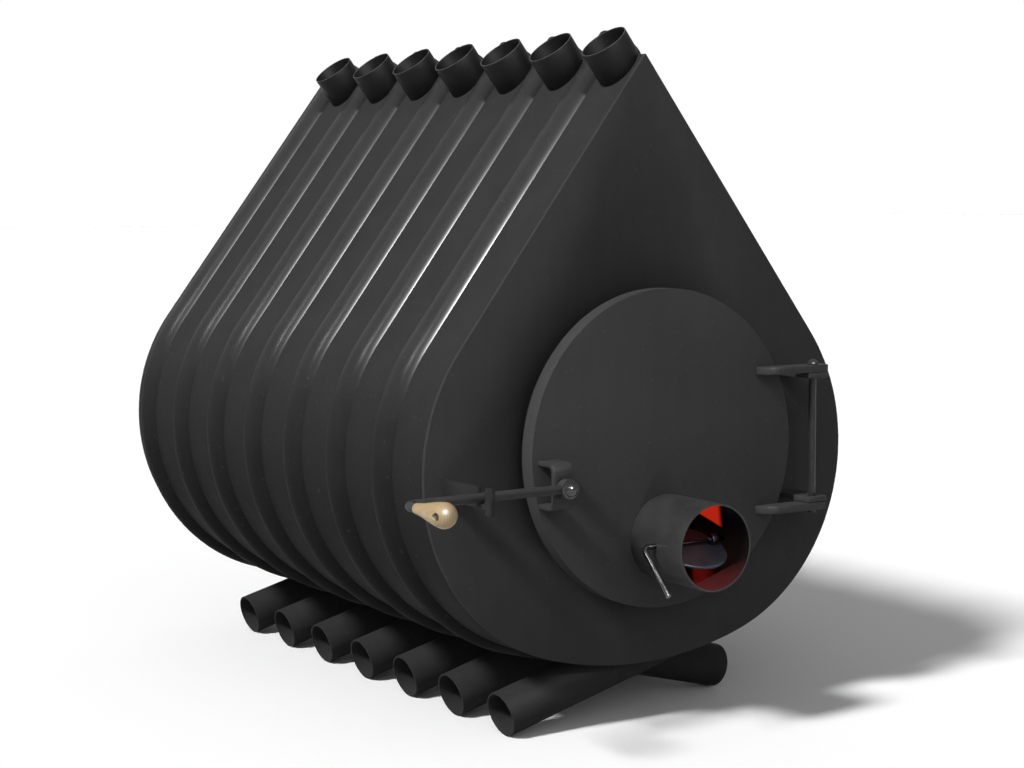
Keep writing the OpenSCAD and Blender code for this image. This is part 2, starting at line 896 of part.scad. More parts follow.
// Bolt with a dome head and washer in front of the rod, and a nut behind the bow
module latch_pivot_bolt() {
    nut_back_y = bow_front_y + bow_t + nut_t;
    color(bright_steel)
    union() {
        along_y(-pivot_x, washer_y - washer_t, pivot_z)
        cylinder(r = bolt_r, h = nut_back_y + bolt_r / 2 - washer_y + washer_t);
        along_y(-pivot_x, washer_y - washer_t, pivot_z)
        cylinder(d = eye_d, h = washer_t);
        translate([-pivot_x, washer_y - washer_t, pivot_z])
        rotate([90, 0, 0])
        dome(dome_r, dome_r);
        along_y(-pivot_x, bow_front_y + bow_t, pivot_z)
        cylinder(d = nut_across / cos(30), h = nut_t, $fn = 6);
    }
}

// Rod with an eye around the bolt, bent forwards at its end to carry the handle
module latch_rod() {
    color(steel)
    difference() {
        union() {
            along_x(-handle_x + rod_bend_r, rod_y, pivot_z)
            cylinder(r = rod_r, h = handle_x - rod_bend_r - pivot_x);
            along_y(-pivot_x, rod_y - eye_t / 2, pivot_z)
            cylinder(d = eye_d, h = eye_t);

            translate([-handle_x + rod_bend_r, rod_y - rod_bend_r, pivot_z])
            rotate([0, 0, 90])
            rotate_extrude(angle = 90)
            translate([rod_bend_r, 0])
            circle(r = rod_r);

            along_y(-handle_x, -handle_back_y + weld_gap, pivot_z)
            cylinder(r = rod_r, h = rod_y - rod_bend_r + handle_back_y - weld_gap);

            along_y(-handle_x, tang_end_y, pivot_z)
            cylinder(r = tang_r, h = rod_y - rod_bend_r - tang_end_y);
        }
        along_y(-pivot_x, rod_y - rod_d, pivot_z)
        cylinder(r = bolt_r + running_gap, h = 2 * rod_d);
    }
}

// Shape built along +X from a depth inside the handle's left side, at the screw's place
module screw_place(depth) {
    along_x(-handle_x - handle_r1 + depth, screw_y, pivot_z)
    children();
}

// Turned wooden handle: cone with a round end, a bore for the tang and a recess for the screw
module latch_handle() {
    color(wood)
    difference() {
        along_y(-handle_x, handle_front_y, pivot_z)
        rotate_extrude()
        handle_profile_2d();
        along_y(-handle_x, tang_end_y - weld_gap, pivot_z)
        cylinder(r = tang_r + weld_gap, h = handle_length);
        screw_place(-cut_over)
        cylinder(d = handle_screw_d, h = screw_recess + cut_over);
        screw_place(0)
        cylinder(r = screw_r + weld_gap, h = handle_r1);
    }
}

// Half profile of the handle: the front end is a quarter circle, the back end a cone
module handle_profile_2d() {
    intersection() {
        translate([0, handle_r1])
        circle(r = handle_r1);
        square(handle_r1);
    }
    polygon([
        [0, handle_r1],
        [handle_r1, handle_r1],
        [handle_d0 / 2, handle_length],
        [0, handle_length]
    ]);
}

// Screw in the handle's recess, whose tip clamps the tang
module handle_screw() {
    color(bright_steel)
    union() {
        screw_place(screw_recess / 2)
        cylinder(d = handle_screw_d - 2 * weld_gap, h = screw_recess / 2);
        screw_place(screw_recess / 2)
        cylinder(r = screw_r, h = handle_r1 - tang_r - screw_recess / 2 - weld_gap);
    }
}

// Hook plate on the front plate: the rod drops into its slot behind the finger
module latch_catch() {
    slot_back_y = bow_front_y - rod_gap + turn_gap;
    slot_front_y = slot_back_y - slot_w;
    front_y = slot_front_y - finger_w;
    top_z = pivot_z + catch_top;
    slot_floor_z = pivot_z - rod_r - turn_gap;
    color(steel)
    translate([-catch_x - catch_t, 0, 0])
    rotate([90, 0, 90])
    linear_extrude(height = catch_t)
    polygon([
        [0, top_z - catch_h],
        [0, top_z],
        [slot_back_y, top_z],
        [slot_back_y, slot_floor_z],
        [slot_front_y, slot_floor_z],
        [slot_front_y, top_z],
        [front_y, top_z],
        [front_y, top_z - catch_h - finger_drop],
        [slot_front_y, top_z - catch_h - finger_drop],
        [slot_front_y, top_z - catch_h]
    ]);
}

// Flue collar on the back plate, with a spigot and two holes for the damper's shaft
module flue_collar() {
    color(dark_steel)
    difference() {
        along_y(0, body_depth, flue_z)
        linear_extrude(height = flue_length)
        ring_2d(flue_r, flue_bore_r);
        along_y(0, flue_end_y - spigot_length, flue_z)
        linear_extrude(height = spigot_length + cut_over)
        ring_2d(flue_r + cut_over, flue_r - spigot_step);
        along_x(-flue_r - cut_over, flue_shaft_y, flue_z)
        cylinder(r = flue_rod_r + running_gap, h = flue_od + 2 * cut_over);
    }
}

// Flue damper's disc, edge on to the smoke at rest
module flue_damper_disc() {
    hub_half = flue_damper_r / 2;
    color(steel)
    translate([0, flue_shaft_y, flue_z])
    difference() {
        union() {
            translate([0, 0, -damper_t / 2])
            cylinder(r = flue_damper_r, h = damper_t);
            along_x(-hub_half, 0, 0)
            cylinder(r = flue_rod_r + damper_hub_wall, h = 2 * hub_half);
        }
        along_x(-flue_damper_r - cut_over, 0, 0)
        cylinder(r = flue_rod_r + running_gap, h = 2 * (flue_damper_r + cut_over));
    }
}

// Shaft of the flue damper with a bent handle on the right
module flue_damper_shaft() {
    corner_x = flue_r + flue_rod_out;
    color(bright_steel)
    translate([0, flue_shaft_y, flue_z])
    union() {
        along_x(-flue_r - damper_rod_out, 0, 0)
        cylinder(r = flue_rod_r, h = flue_r + damper_rod_out + corner_x - lever_bend_r);

        translate([corner_x - lever_bend_r, lever_bend_r, 0])
        rotate([0, 0, -90])
        rotate_extrude(angle = 90)
        translate([lever_bend_r, 0])
        circle(r = flue_rod_r);

        along_y(corner_x, lever_bend_r, 0)
        cylinder(r = flue_rod_r, h = flue_handle_length - lever_bend_r);
    }
}

// Plate over the fire that leads the smoke to the back
module baffle_plate() {
    color(dark_steel)
    translate([-baffle_half, baffle_front_y, baffle_z])
    cube([2 * baffle_half, back_inner_y - baffle_front_y - baffle_back_gap, baffle_t]);
}

// Two bars between the front and the back plate that carry the baffle
module baffle_rails() {
    color(dark_steel)
    for (side = [-1, 1])
        translate([side * rail_x - rail_w / 2, plate_t, baffle_z - rail_h])
        cube([rail_w, back_inner_y - plate_t, rail_h]);
}

for (k = [0:tubes_per_row - 1])
    placed() right_air_tube(k);
for (k = [0:tubes_per_row - 1])
    placed() left_air_tube(k);
for (i = [0:strips_per_row - 1])
    placed() right_casing_strip(i);
for (i = [0:strips_per_row - 1])
    placed() left_casing_strip(i);
placed() right_outlet_sleeves();
placed() left_outlet_sleeves();
placed() front_plate();
placed() back_plate();
placed() door_frame_ring();
placed() door_panel();
placed() rope_channel();
placed() rope_seal();
placed() heat_shield();
placed() shield_studs();
placed() inlet_tube();
placed() inlet_damper_disc();
placed() inlet_damper_rod();
placed() upper_hinge_arm();
placed() lower_hinge_arm();
placed() upper_hinge_lug();
placed() lower_hinge_lug();
placed() hinge_pin();
placed() latch_bow();
placed() latch_pivot_bolt();
placed() latch_rod();
placed() latch_handle();
placed() handle_screw();
placed() latch_catch();
placed() flue_collar();
placed() flue_damper_disc();
placed() flue_damper_shaft();
placed() baffle_plate();
placed() baffle_rails();
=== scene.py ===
"""Looks of a hot air stove with two rows of bent air tubes, built around its construction model.

Lengths are metres in the construction model's frame, +Z up, with the stove's front towards -Y.
The right row of tubes bends round the stove's right side, as its front is seen, and opens on the left.
"""

import logging
import math
from dataclasses import dataclass, field
from enum import Enum
from typing import Self

import bpy
from mathutils import Matrix, Vector

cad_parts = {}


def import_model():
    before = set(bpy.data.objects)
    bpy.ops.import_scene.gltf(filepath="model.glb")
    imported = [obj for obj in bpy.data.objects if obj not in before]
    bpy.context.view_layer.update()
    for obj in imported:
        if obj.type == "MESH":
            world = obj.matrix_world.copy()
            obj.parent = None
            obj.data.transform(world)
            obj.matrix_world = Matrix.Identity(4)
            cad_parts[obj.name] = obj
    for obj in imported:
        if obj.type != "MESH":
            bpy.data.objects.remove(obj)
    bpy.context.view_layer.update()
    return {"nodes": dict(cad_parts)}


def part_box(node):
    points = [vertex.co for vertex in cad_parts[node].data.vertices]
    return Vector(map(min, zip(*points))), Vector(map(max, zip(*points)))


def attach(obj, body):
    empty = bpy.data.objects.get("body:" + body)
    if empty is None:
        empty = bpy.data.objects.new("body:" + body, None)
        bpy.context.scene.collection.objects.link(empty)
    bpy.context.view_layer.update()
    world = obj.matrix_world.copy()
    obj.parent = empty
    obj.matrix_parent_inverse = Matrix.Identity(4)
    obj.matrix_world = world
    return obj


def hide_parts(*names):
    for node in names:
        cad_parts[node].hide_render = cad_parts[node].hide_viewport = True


LOG = logging.getLogger("stove")
MM = 0.001
DOUBLES = MM / 100
FIT_GAP = 0.3 * MM
PIN_PLAY = 0.06 * MM
BODY_MIDDLE = 0.45
SMOOTH_ANGLE = math.radians(35)
RIGHT = Vector((1, 0, 0))
BACK = Vector((0, 1, 0))
UP = Vector((0, 0, 1))
BLACK = (0, 0, 0, 1)
Triple = tuple[float, float, float]
Profile = list[tuple[float, float]]
Socket = bpy.types.NodeSocket
Outputs = bpy.types.NodeOutputs


class Hand(Enum):
    """Side of the stove that a row of tubes bends round; the value is the side's sign in X."""

    RIGHT = 1
    LEFT = -1

    @property
    def word(self) -> str:
        """The side as it is written in the nodes' names."""
        return self.name.lower()


class Body(Enum):
    """Bodies of the construction model that new pieces ride on."""

    STOVE = "stove"
    DOOR = "door"
    LATCH = "latch"
    INLET_DAMPER = "inlet_damper"


@dataclass(frozen=True)
class NodeBox:
    """Box round a construction node at rest.

    Args:
        low: Its lowest corner.
        high: Its highest corner.
    """

    low: Vector
    high: Vector

    @classmethod
    def of(cls, node: str) -> Self:
        """The box of a node."""
        return cls(*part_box(node))

    @property
    def middle(self) -> Vector:
        """Middle of the box."""
        return (self.low + self.high) / 2

    @property
    def size(self) -> Vector:
        """Width, depth and height of the box."""
        return self.high - self.low

    @property
    def front(self) -> Vector:
        """Middle of the box's front face."""
        return Vector((self.middle.x, self.low.y, self.middle.z))


def grey(level: float) -> Triple:
    """A colour with no hue."""
    return (level,) * 3


def deselect() -> None:
    """Leaves edit mode and clears the selection, because operators act on all that is selected."""
    if bpy.context.mode != "OBJECT":
        bpy.ops.object.mode_set(mode="OBJECT")
    bpy.ops.object.select_all(action="DESELECT")


@dataclass
class Workpiece:
    """A mesh piece that is drawn, extruded and spun with edit-mode operators.

    Args:
        name: Name of the piece.
        at: Where the drawing has come to.
        piece: The object, once the piece is started.
    """

    name: str
    at: Vector = field(default_factory=Vector)
    piece: bpy.types.Object | None = None

    def _adopt(self, at: Vector) -> None:
        """Takes the primitive just added, puts its place into its mesh and opens it for editing.

        Args:
            at: Where the drawing starts.
        """
        self.at = at.copy()
        self.piece = bpy.context.active_object
        self.piece.name = self.piece.data.name = self.name
        bpy.ops.object.transform_apply(location=True, rotation=True, scale=True)
        bpy.ops.object.mode_set(mode="EDIT")

    def point(self, place: Vector) -> Self:
        """Starts the piece as one vertex.

        Args:
            place: Where the vertex lies.

        Returns:
            This workpiece.
        """
        deselect()
        bpy.ops.mesh.primitive_plane_add(size=MM, location=place)
        self._adopt(place)
        bpy.ops.mesh.merge(type="CENTER")
        return self

    def ring(self, centre: Vector, radius: float, along: Vector, solid: bool, sides: int) -> Self:
        """Starts the piece as a circle.

        Args:
            centre: Centre of the circle.
            radius: Its radius.
            along: Direction across its plane.
            solid: Whether it is filled, for a rod, or open, for a tube.
            sides: Number of its sides.

        Returns:
            This workpiece.
        """
        deselect()
        bpy.ops.mesh.primitive_circle_add(
            vertices=sides, radius=radius, fill_type="NGON" if solid else "NOTHING",
            location=centre, rotation=UP.rotation_difference(along).to_euler(),
        )
        self._adopt(centre)
        return self

    def run(self, step: Vector) -> Self:
        """Extrudes what is selected straight on.

        Args:
            step: How far and in which direction.

        Returns:
            This workpiece.
        """
        bpy.ops.mesh.extrude_region_move(TRANSFORM_OT_translate={"value": step})
        self.at = self.at + step
        return self

    def to(self, place: Vector) -> Self:
        """Extrudes what is selected straight to a place."""
        return self.run(place - self.at)

    def bend(self, centre: Vector, axis: Vector, angle: float, steps: int) -> Self:
        """Spins what is selected about an axis.

        Args:
            centre: A place on the axis.
            axis: Direction of the axis.
            angle: Angle in radians, by the right-hand rule.
            steps: Number of straight pieces in the bend.

        Returns:
            This workpiece.
        """
        bpy.ops.mesh.spin(steps=steps, angle=-angle, center=centre, axis=axis, use_auto_merge=False)
        self.at = centre + Matrix.Rotation(angle, 3, axis) @ (self.at - centre)
        return self

    def fill_and_extrude(self, step: Vector) -> Self:
        """Closes a drawn outline, fills it and gives it thickness.

        Args:
            step: How far and in which direction it is extruded.

        Returns:
            This workpiece.
        """
        bpy.ops.mesh.select_all(action="SELECT")
        bpy.ops.mesh.remove_doubles(threshold=DOUBLES)
        bpy.ops.mesh.edge_face_add()
        return self.run(step)

    def spin_profile(self, centre: Vector, axis: Vector, steps: int) -> Self:
        """Spins a drawn profile all the way round.

        Args:
            centre: A place on the axis.
            axis: Direction of the axis.
            steps: Number of faces round the piece.

        Returns:
            This workpiece.
        """
        bpy.ops.mesh.select_all(action="SELECT")
        bpy.ops.mesh.spin(steps=steps, angle=math.tau, center=centre, axis=axis, use_auto_merge=True)
        return self

    def outward(self) -> Self:
        """Merges doubles, turns the faces outwards, leaves edit mode and selects the piece.

        Returns:
            This workpiece.
        """
        if bpy.context.mode != "OBJECT":
            bpy.ops.mesh.select_all(action="SELECT")
            bpy.ops.mesh.remove_doubles(threshold=DOUBLES)
            bpy.ops.mesh.normals_make_consistent(inside=False)
        deselect()
        self.piece.select_set(True)
        bpy.context.view_layer.objects.active = self.piece
        return self

    def modify(self, kind: str, **settings: object) -> Self:
        """Applies a modifier.

        Args:
            kind: Kind of the modifier.
            settings: Its settings by name.

        Returns:
            This workpiece.
        """
        self.outward()
        modifier = self.piece.modifiers.new(kind.lower(), kind)
        for name, value in settings.items():
            setattr(modifier, name, value)
        bpy.ops.object.modifier_apply(modifier=modifier.name)
        return self

    def wall(self, thickness: float) -> Self:
        """Gives an open surface a wall, inwards from the surface."""
        return self.modify("SOLIDIFY", thickness=thickness, offset=-1)

    def bevel(self, width: float, segments: int = 2, above: float = 40) -> Self:
        """Rounds the edges that are sharper than an angle in degrees."""
        angle = math.radians(above)
        return self.modify("BEVEL", width=width, segments=segments, limit_method="ANGLE", angle_limit=angle)

    def bore(self, centre: Vector, axis: Vector, radius: float, length: float) -> Self:
        """Cuts a round hole through the piece.

        Args:
            centre: Middle of the hole.
            axis: Direction of the hole.
            radius: Its radius.
            length: Its length, half to each side of the middle.

        Returns:
            This workpiece.
        """
        self.outward()
        drill = Workpiece(self.name + "_drill")
        drill.ring(centre - axis * length / 2, radius, axis, solid=True, sides=96)
        drill.run(axis * length).outward()
        self.modify("BOOLEAN", object=drill.piece, solver="EXACT")
        bpy.data.objects.remove(drill.piece)
        return self

    def cut(self, place: Vector, normal: Vector) -> Self:
        """Cuts the piece off along a plane.

        Args:
            place: A place in the plane.
            normal: Direction of the side that is kept.

        Returns:
            This workpiece.
        """
        self.outward()
        bpy.ops.object.mode_set(mode="EDIT")
        bpy.ops.mesh.select_all(action="SELECT")
        bpy.ops.mesh.bisect(plane_co=place, plane_no=normal, use_fill=True, clear_inner=True)
        return self.outward()

    def copy(self, name: str, step: Vector) -> "Workpiece":
        """Copies the finished shape with a mesh of its own and moves the copy's mesh.

        Args:
            name: Name of the copy.
            step: How far the copy lies from this piece.

        Returns:
            The copy.
        """
        deselect()
        piece = self.piece.copy()
        piece.data = self.piece.data.copy()
        piece.name = piece.data.name = name
        bpy.context.scene.collection.objects.link(piece)
        piece.select_set(True)
        bpy.context.view_layer.objects.active = piece
        bpy.ops.object.mode_set(mode="EDIT")
        bpy.ops.mesh.select_all(action="SELECT")
        bpy.ops.transform.translate(value=step)
        return Workpiece(name, piece=piece).outward()

    def dress(self, finish: "Finish", body: Body, node: str) -> None:
        """Shades the piece, gives it its finish and hangs it on its body.

        Args:
            finish: The piece's finish.
            body: The body that it moves with.
            node: The construction node that it stands for.
        """
        self.outward()
        bpy.ops.object.shade_smooth_by_angle(angle=SMOOTH_ANGLE)
        self.piece.data.materials.clear()
        self.piece.data.materials.append(finish.material())
        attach(self.piece, body.value)
        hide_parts(node)
        LOG.info("%s: %d faces", self.name, len(self.piece.data.polygons))


def lathe(name: str, profile: Profile, foot: Vector, axis: Vector, steps: int = 96) -> Workpiece:
    """Turns a piece on an axis.

    Args:
        name: Name of the piece.
        profile: Points of the half profile, each with its radius and its height along the axis.
        foot: The point on the axis at height 0.
        axis: Direction of the axis.
        steps: Number of faces round the piece.

    Returns:
        The turned piece, with its faces outwards.
    """
    outwards = axis.orthogonal().normalized()
    places = [foot + outwards * radius + axis * height for radius, height in profile]
    piece = Workpiece(name).point(places[0])
    for place in places[1:]:
        piece.to(place)
    if profile[0][0] > 0 or profile[-1][0] > 0:
        piece.to(places[0])
    return piece.spin_profile(foot, axis, steps).outward()


def dome(base_r: float, height: float, foot: float, steps: int = 8) -> Profile:
    """Half profile of a cap of a ball, from its rim to its top.

    Args:
        base_r: Radius of the rim.
        height: Height of the cap.
        foot: Height of the rim along the axis.
        steps: Number of straight pieces in the profile.

    Returns:
        Points of the profile.
    """
    ball_r = (base_r**2 + height**2) / (2 * height)
    widest = math.asin(base_r / ball_r)
    angles = [widest * (1 - i / steps) for i in range(steps + 1)]
    return [(ball_r * math.sin(a), foot + height - ball_r + ball_r * math.cos(a)) for a in angles]


@dataclass
class Nodes:
    """Shader nodes of a node group or the world, with short ways to add and link them.

    Args:
        tree: The node tree.
    """

    tree: bpy.types.NodeTree

    def feed(self, socket: Socket, value: object) -> None:
        """Fills one input.

        Args:
            socket: The input.
            value: An output that is linked to it, or its own value.
        """
        if isinstance(value, Socket):
            self.tree.links.new(value, socket)
        else:
            socket.default_value = value

    def fill(self, node: bpy.types.Node, **inputs: object) -> Outputs:
        """Fills inputs of a node.

        Args:
            node: The node.
            inputs: What goes to its inputs, with _ for a space in their names.

        Returns:
            The node's outputs.
        """
        for name, value in inputs.items():
            self.feed(node.inputs[name.replace("_", " ")], value)
        return node.outputs

    def add(self, kind: str, **inputs: object) -> Outputs:
        """Adds a node, fills its inputs and returns its outputs."""
        return self.fill(self.tree.nodes.new(kind), **inputs)

    def ordered(self, kind: str, *values: object, **options: str) -> Outputs:
        """Adds a node whose inputs are filled in their order.

        Args:
            kind: Kind of the node.
            values: What goes to its first inputs.
            options: Its options by name.

        Returns:
            The node's outputs.
        """
        node = self.tree.nodes.new(kind)
        for name, option in options.items():
            setattr(node, name, option)
        for socket, value in zip(node.inputs, values):
            self.feed(socket, value)
        return node.outputs

    def math(self, operation: str, *values: object) -> Socket:
        """Result of a math node."""
        return self.ordered("ShaderNodeMath", *values, operation=operation)[0]

    def band(self, value: object, low: float, high: float, to_low: float = 0, to_high: float = 1) -> Socket:
        """A value that is mapped smoothly from one range to another."""
        values = (value, low, high, to_low, to_high)
        return self.ordered("ShaderNodeMapRange", *values, interpolation_type="SMOOTHSTEP")[0]

    def noise(self, coords: Socket, scale: object, detail: float = 3, rough: float = 0.55) -> Socket:
        """Value of a noise texture."""
        sizes = {"Scale": scale, "Detail": detail, "Roughness": rough}
        return self.add("ShaderNodeTexNoise", Vector=coords, **sizes)["Fac"]

    def along(self, coords: Socket, origin: Vector, way: Vector) -> Socket:
        """Distance of a place from an origin, measured along a way."""
        offset = self.ordered("ShaderNodeVectorMath", coords, origin, operation="SUBTRACT")["Vector"]
        return self.ordered("ShaderNodeVectorMath", offset, way, operation="DOT_PRODUCT")["Value"]

    def blend(self, share: object, low: object, high: object) -> Socket:
        """Mixes two colours.

        Args:
            share: Share of the second colour.
            low: First colour, as an output or as its numbers.
            high: Second colour.

        Returns:
            The mixed colour.
        """
        node = self.tree.nodes.new("ShaderNodeMix")
        node.data_type = "RGBA"
        for index, value in ((0, share), (6, low), (7, high)):
            self.feed(node.inputs[index], (*value[:3], 1) if isinstance(value, tuple) else value)
        return node.outputs[2]

    def rays(self, *kinds: str) -> Socket:
        """Tells rays apart.

        Args:
            kinds: Names of outputs of the light path.

        Returns:
            1 for rays of these kinds and 0 for all others.
        """
        path = self.add("ShaderNodeLightPath")
        found = path[kinds[0]]
        for kind in kinds[1:]:
            found = self.math("MAXIMUM", found, path[kind])
        return found


def shared_group(name: str, numbers: dict[str, float], results: tuple[str, ...]) -> Nodes:
    """Starts a shader node group that takes coordinates and numbers and gives values.

    Args:
        name: Name of the group.
        numbers: Its number inputs with their default values.
        results: Names of its outputs.

    Returns:
        The group's nodes.
    """
    tree = bpy.data.node_groups.new(name, "ShaderNodeTree")
    tree.interface.new_socket("Vector", in_out="INPUT", socket_type="NodeSocketVector")
    for label, value in numbers.items():
        socket = tree.interface.new_socket(label, in_out="INPUT", socket_type="NodeSocketFloat")
        socket.default_value = value
    for label in results:
        tree.interface.new_socket(label, in_out="OUTPUT", socket_type="NodeSocketFloat")
    tree.nodes.new("NodeGroupInput")
    tree.nodes.new("NodeGroupOutput")
    return Nodes(tree)


def steel_surface_group() -> bpy.types.NodeTree:
    """Mottle, dust specks, faint rolling streaks and fine grain of sheet steel.

    Returns:
        The group, made once and shared.
    """
    name = "steel_surface"
    if name in bpy.data.node_groups:
        return bpy.data.node_groups[name]
    nodes = shared_group(name, {"Mottle Size": 0.05, "Grain Size": 0.001}, ("Mottle", "Specks", "Height"))
    given = nodes.tree.nodes["Group Input"].outputs
    coords = given["Vector"]
    coarse = nodes.math("DIVIDE", 1.0, given["Mottle Size"])
    fine = nodes.math("DIVIDE", 1.0, given["Grain Size"])
    drawn_out = nodes.add("ShaderNodeMapping", Vector=coords, Scale=(1, 1, 0.06))[0]
    cloud = nodes.noise(coords, coarse, detail=5, rough=0.6)
    streaks = nodes.noise(drawn_out, nodes.math("MULTIPLY", coarse, 9.0))
    grain = nodes.noise(coords, fine, detail=2, rough=0.6)
    dust = nodes.noise(coords, nodes.math("MULTIPLY", fine, 0.22), detail=2, rough=0.5)
    mottle = nodes.math("ADD", nodes.math("MULTIPLY", cloud, 0.7), nodes.math("MULTIPLY", streaks, 0.3))
    height = nodes.math("ADD", nodes.math("MULTIPLY", grain, 0.6), nodes.math("MULTIPLY", cloud, 0.4))
    nodes.fill(
        nodes.tree.nodes["Group Output"],
        Mottle=nodes.band(mottle, 0.32, 0.68), Specks=nodes.band(dust, 0.66, 0.74), Height=height,
    )
    return nodes.tree


def wood_grain_group() -> bpy.types.NodeTree:
    """Grain of turned wood along Y: long fibres and growth rings that are cut slantwise.

    Returns:
        The group, made once and shared.
    """
    name = "wood_grain"
    if name in bpy.data.node_groups:
        return bpy.data.node_groups[name]
    nodes = shared_group(name, {"Fibre": 900.0}, ("Ring", "Fibres"))
    given = nodes.tree.nodes["Group Input"].outputs
    coords = given["Vector"]
    stretched = nodes.add("ShaderNodeMapping", Vector=coords, Scale=(1, 0.05, 1))[0]
    slanted = nodes.add("ShaderNodeMapping", Vector=coords, Rotation=(0.07, 0, 0.2), Scale=(1, 0.16, 1))[0]
    rings = nodes.add("ShaderNodeTexWave", Vector=slanted, Scale=95.0, Distortion=3.0, Detail=2.0)["Fac"]
    nodes.fill(
        nodes.tree.nodes["Group Output"],
        Ring=nodes.band(rings, 0.25, 0.95),
        Fibres=nodes.noise(stretched, given["Fibre"], detail=4, rough=0.6),
    )
    return nodes.tree


@dataclass
class Shading(Nodes):
    """Shader nodes of one material.

    Args:
        shader: Its Principled shader.
        coords: Coordinates on the piece itself.
    """

    shader: bpy.types.Node
    coords: Socket

    @classmethod
    def start(cls, name: str) -> Self:
        """Makes a material.

        Args:
            name: Name of the material.

        Returns:
            Its nodes.
        """
        made = bpy.data.materials.new(name)
        made.use_nodes = True
        tree = made.node_tree
        return cls(tree, tree.nodes["Principled BSDF"], Nodes(tree).add("ShaderNodeTexCoord")["Object"])

    def set(self, **inputs: object) -> None:
        """Fills inputs of the shader, with _ for a space in their names."""
        self.fill(self.shader, **inputs)

    def ground(self) -> Socket:
        """The colour that the shader has so far."""
        return self.shader.inputs["Base Color"].links[0].from_socket

    def across(self, axis_x: float, axis_z: float) -> tuple[Socket, Socket]:
        """Distances in X and in Z from an axis along Y."""
        x, _, z = self.add("ShaderNodeSeparateXYZ", Vector=self.coords)[:3]
        return self.math("SUBTRACT", x, axis_x), self.math("SUBTRACT", z, axis_z)

    def place_group(self, group: bpy.types.NodeTree, **inputs: object) -> Outputs:
        """Places a shared group in the material.

        Args:
            group: The group.
            inputs: What goes to its number inputs.

        Returns:
            The group's outputs.
        """
        node = self.tree.nodes.new("ShaderNodeGroup")
        node.node_tree = group
        return self.fill(node, Vector=self.coords, **inputs)

    def bump(self, height: Socket, depth: float, strength: float) -> None:
        """Feeds a height in depths of metres to the shader's normal."""
        self.set(Normal=self.add("ShaderNodeBump", Height=height, Distance=depth, Strength=strength)[0])


@dataclass(frozen=True)
class Finish:
    """A surface finish; each kind fills in the shader.

    Args:
        name: Name of the material.
        slot: The record's material slot; not used here.
    """

    name: str
    slot: str

    def material(self) -> bpy.types.Material:
        """The material, made on its first use."""
        if self.name not in bpy.data.materials:
            self.shade(Shading.start(self.name))
        return bpy.data.materials[self.name]

    def shade(self, nodes: Shading) -> None:
        """Fills in the shader."""
        raise NotImplementedError


@dataclass(frozen=True)
class SteelFinish(Finish):
    """Painted, scaled or bright steel.

    Args:
        low: Darker colour of the mottle.
        high: Lighter colour of the mottle.
        metallic: 0 for paint, 1 for bare metal.
        roughness: Middle of the roughness.
        rough_spread: How far the roughness goes to each side of it.
        specular: Specular level.
        mottle: Size of the mottle's patches.
        grain: Size of the surface grain.
        depth: Depth of the grain.
        grain_strength: Strength of the grain's bump.
        coat: Strength of the smoother top layer of paint, high on the stove.
        coat_roughness: Roughness of that layer.
        coat_rise: Heights between which the layer comes to its strength.
        belly: Share of the colour that is left on the belly, darkened there as painted shade.
        belly_rise: Heights between which the painted shade fades out above the belly.
        leg_rise: Heights between which the legs' full colour gives way to the painted shade.
        speck_gain: How many times as light as the mottle dust specks are.
        speck_lift: How much lighter they are besides.
        speck_share: How much they cover.
    """

    low: Triple
    high: Triple
    metallic: float = 0.0
    roughness: float = 0.6
    rough_spread: float = 0.05
    specular: float = 0.02
    mottle: float = 0.05
    grain: float = 0.0012
    depth: float = 0.0001
    grain_strength: float = 0.5
    coat: float = 0.0
    coat_roughness: float = 0.27
    coat_rise: tuple[float, float] = (0.40, 0.53)
    belly: float = 1.0
    belly_rise: tuple[float, float] = (0.24, 0.52)
    leg_rise: tuple[float, float] = (0.09, 0.13)
    speck_gain: float = 1.9
    speck_lift: float = 0.01
    speck_share: float = 0.35

    def shade(self, nodes: Shading) -> None:
        """Fills in the shader.

        Args:
            nodes: The material's nodes.
        """
        surface = nodes.place_group(steel_surface_group(), Mottle_Size=self.mottle, Grain_Size=self.grain)
        colour = nodes.blend(surface["Mottle"], self.low, self.high)
        height = nodes.across(0, 0)[1]
        # Painted shade: darkens the colour on the belly, between the legs and the roof.
        if self.belly < 1:
            above = nodes.band(height, *self.belly_rise, self.belly, 1)
            legs = nodes.band(height, *self.leg_rise, 1, 0)
            colour = nodes.blend(nodes.math("MAXIMUM", above, legs), BLACK, colour)
        speck = tuple(min(1.0, part * self.speck_gain + self.speck_lift) for part in self.high)
        dust = nodes.math("MULTIPLY", surface["Specks"], self.speck_share)
        smooth, rough = self.roughness - self.rough_spread, self.roughness + self.rough_spread
        nodes.set(
            Base_Color=nodes.blend(dust, colour, speck),
            Roughness=nodes.band(surface["Mottle"], 0, 1, smooth, rough),
            Metallic=self.metallic,
            Specular_IOR_Level=self.specular,
        )
        if self.coat:
            weight = nodes.band(height, *self.coat_rise, 0, self.coat)
            nodes.set(Coat_Weight=weight, Coat_Roughness=self.coat_roughness)
        nodes.bump(surface["Height"], self.depth, self.grain_strength)


@dataclass(frozen=True)
class LippedSteel(SteelFinish):
    """Painted steel pipe whose cut end is lighter.

    Args:
        lip_at: A place in the plane of the cut end.
        lip_way: Direction out of the pipe.
        lip_width: How far the lighter part reaches down the pipe.
        lip: Colour of the lighter part.
    """

    lip_at: Triple = (0.0, 0.0, 0.0)
    lip_way: Triple = (0.0, 0.0, 1.0)
    lip_width: float = 0.0008
    lip: Triple = (0.07, 0.07, 0.07)

    def shade(self, nodes: Shading) -> None:
        """Fills in the shader.

        Args:
            nodes: The material's nodes.
        """
        super().shade(nodes)
        height = nodes.along(nodes.coords, Vector(self.lip_at), Vector(self.lip_way))
        share = nodes.band(height, -self.lip_width, -self.lip_width / 2)
        nodes.set(Base_Color=nodes.blend(share, nodes.ground(), self.lip))


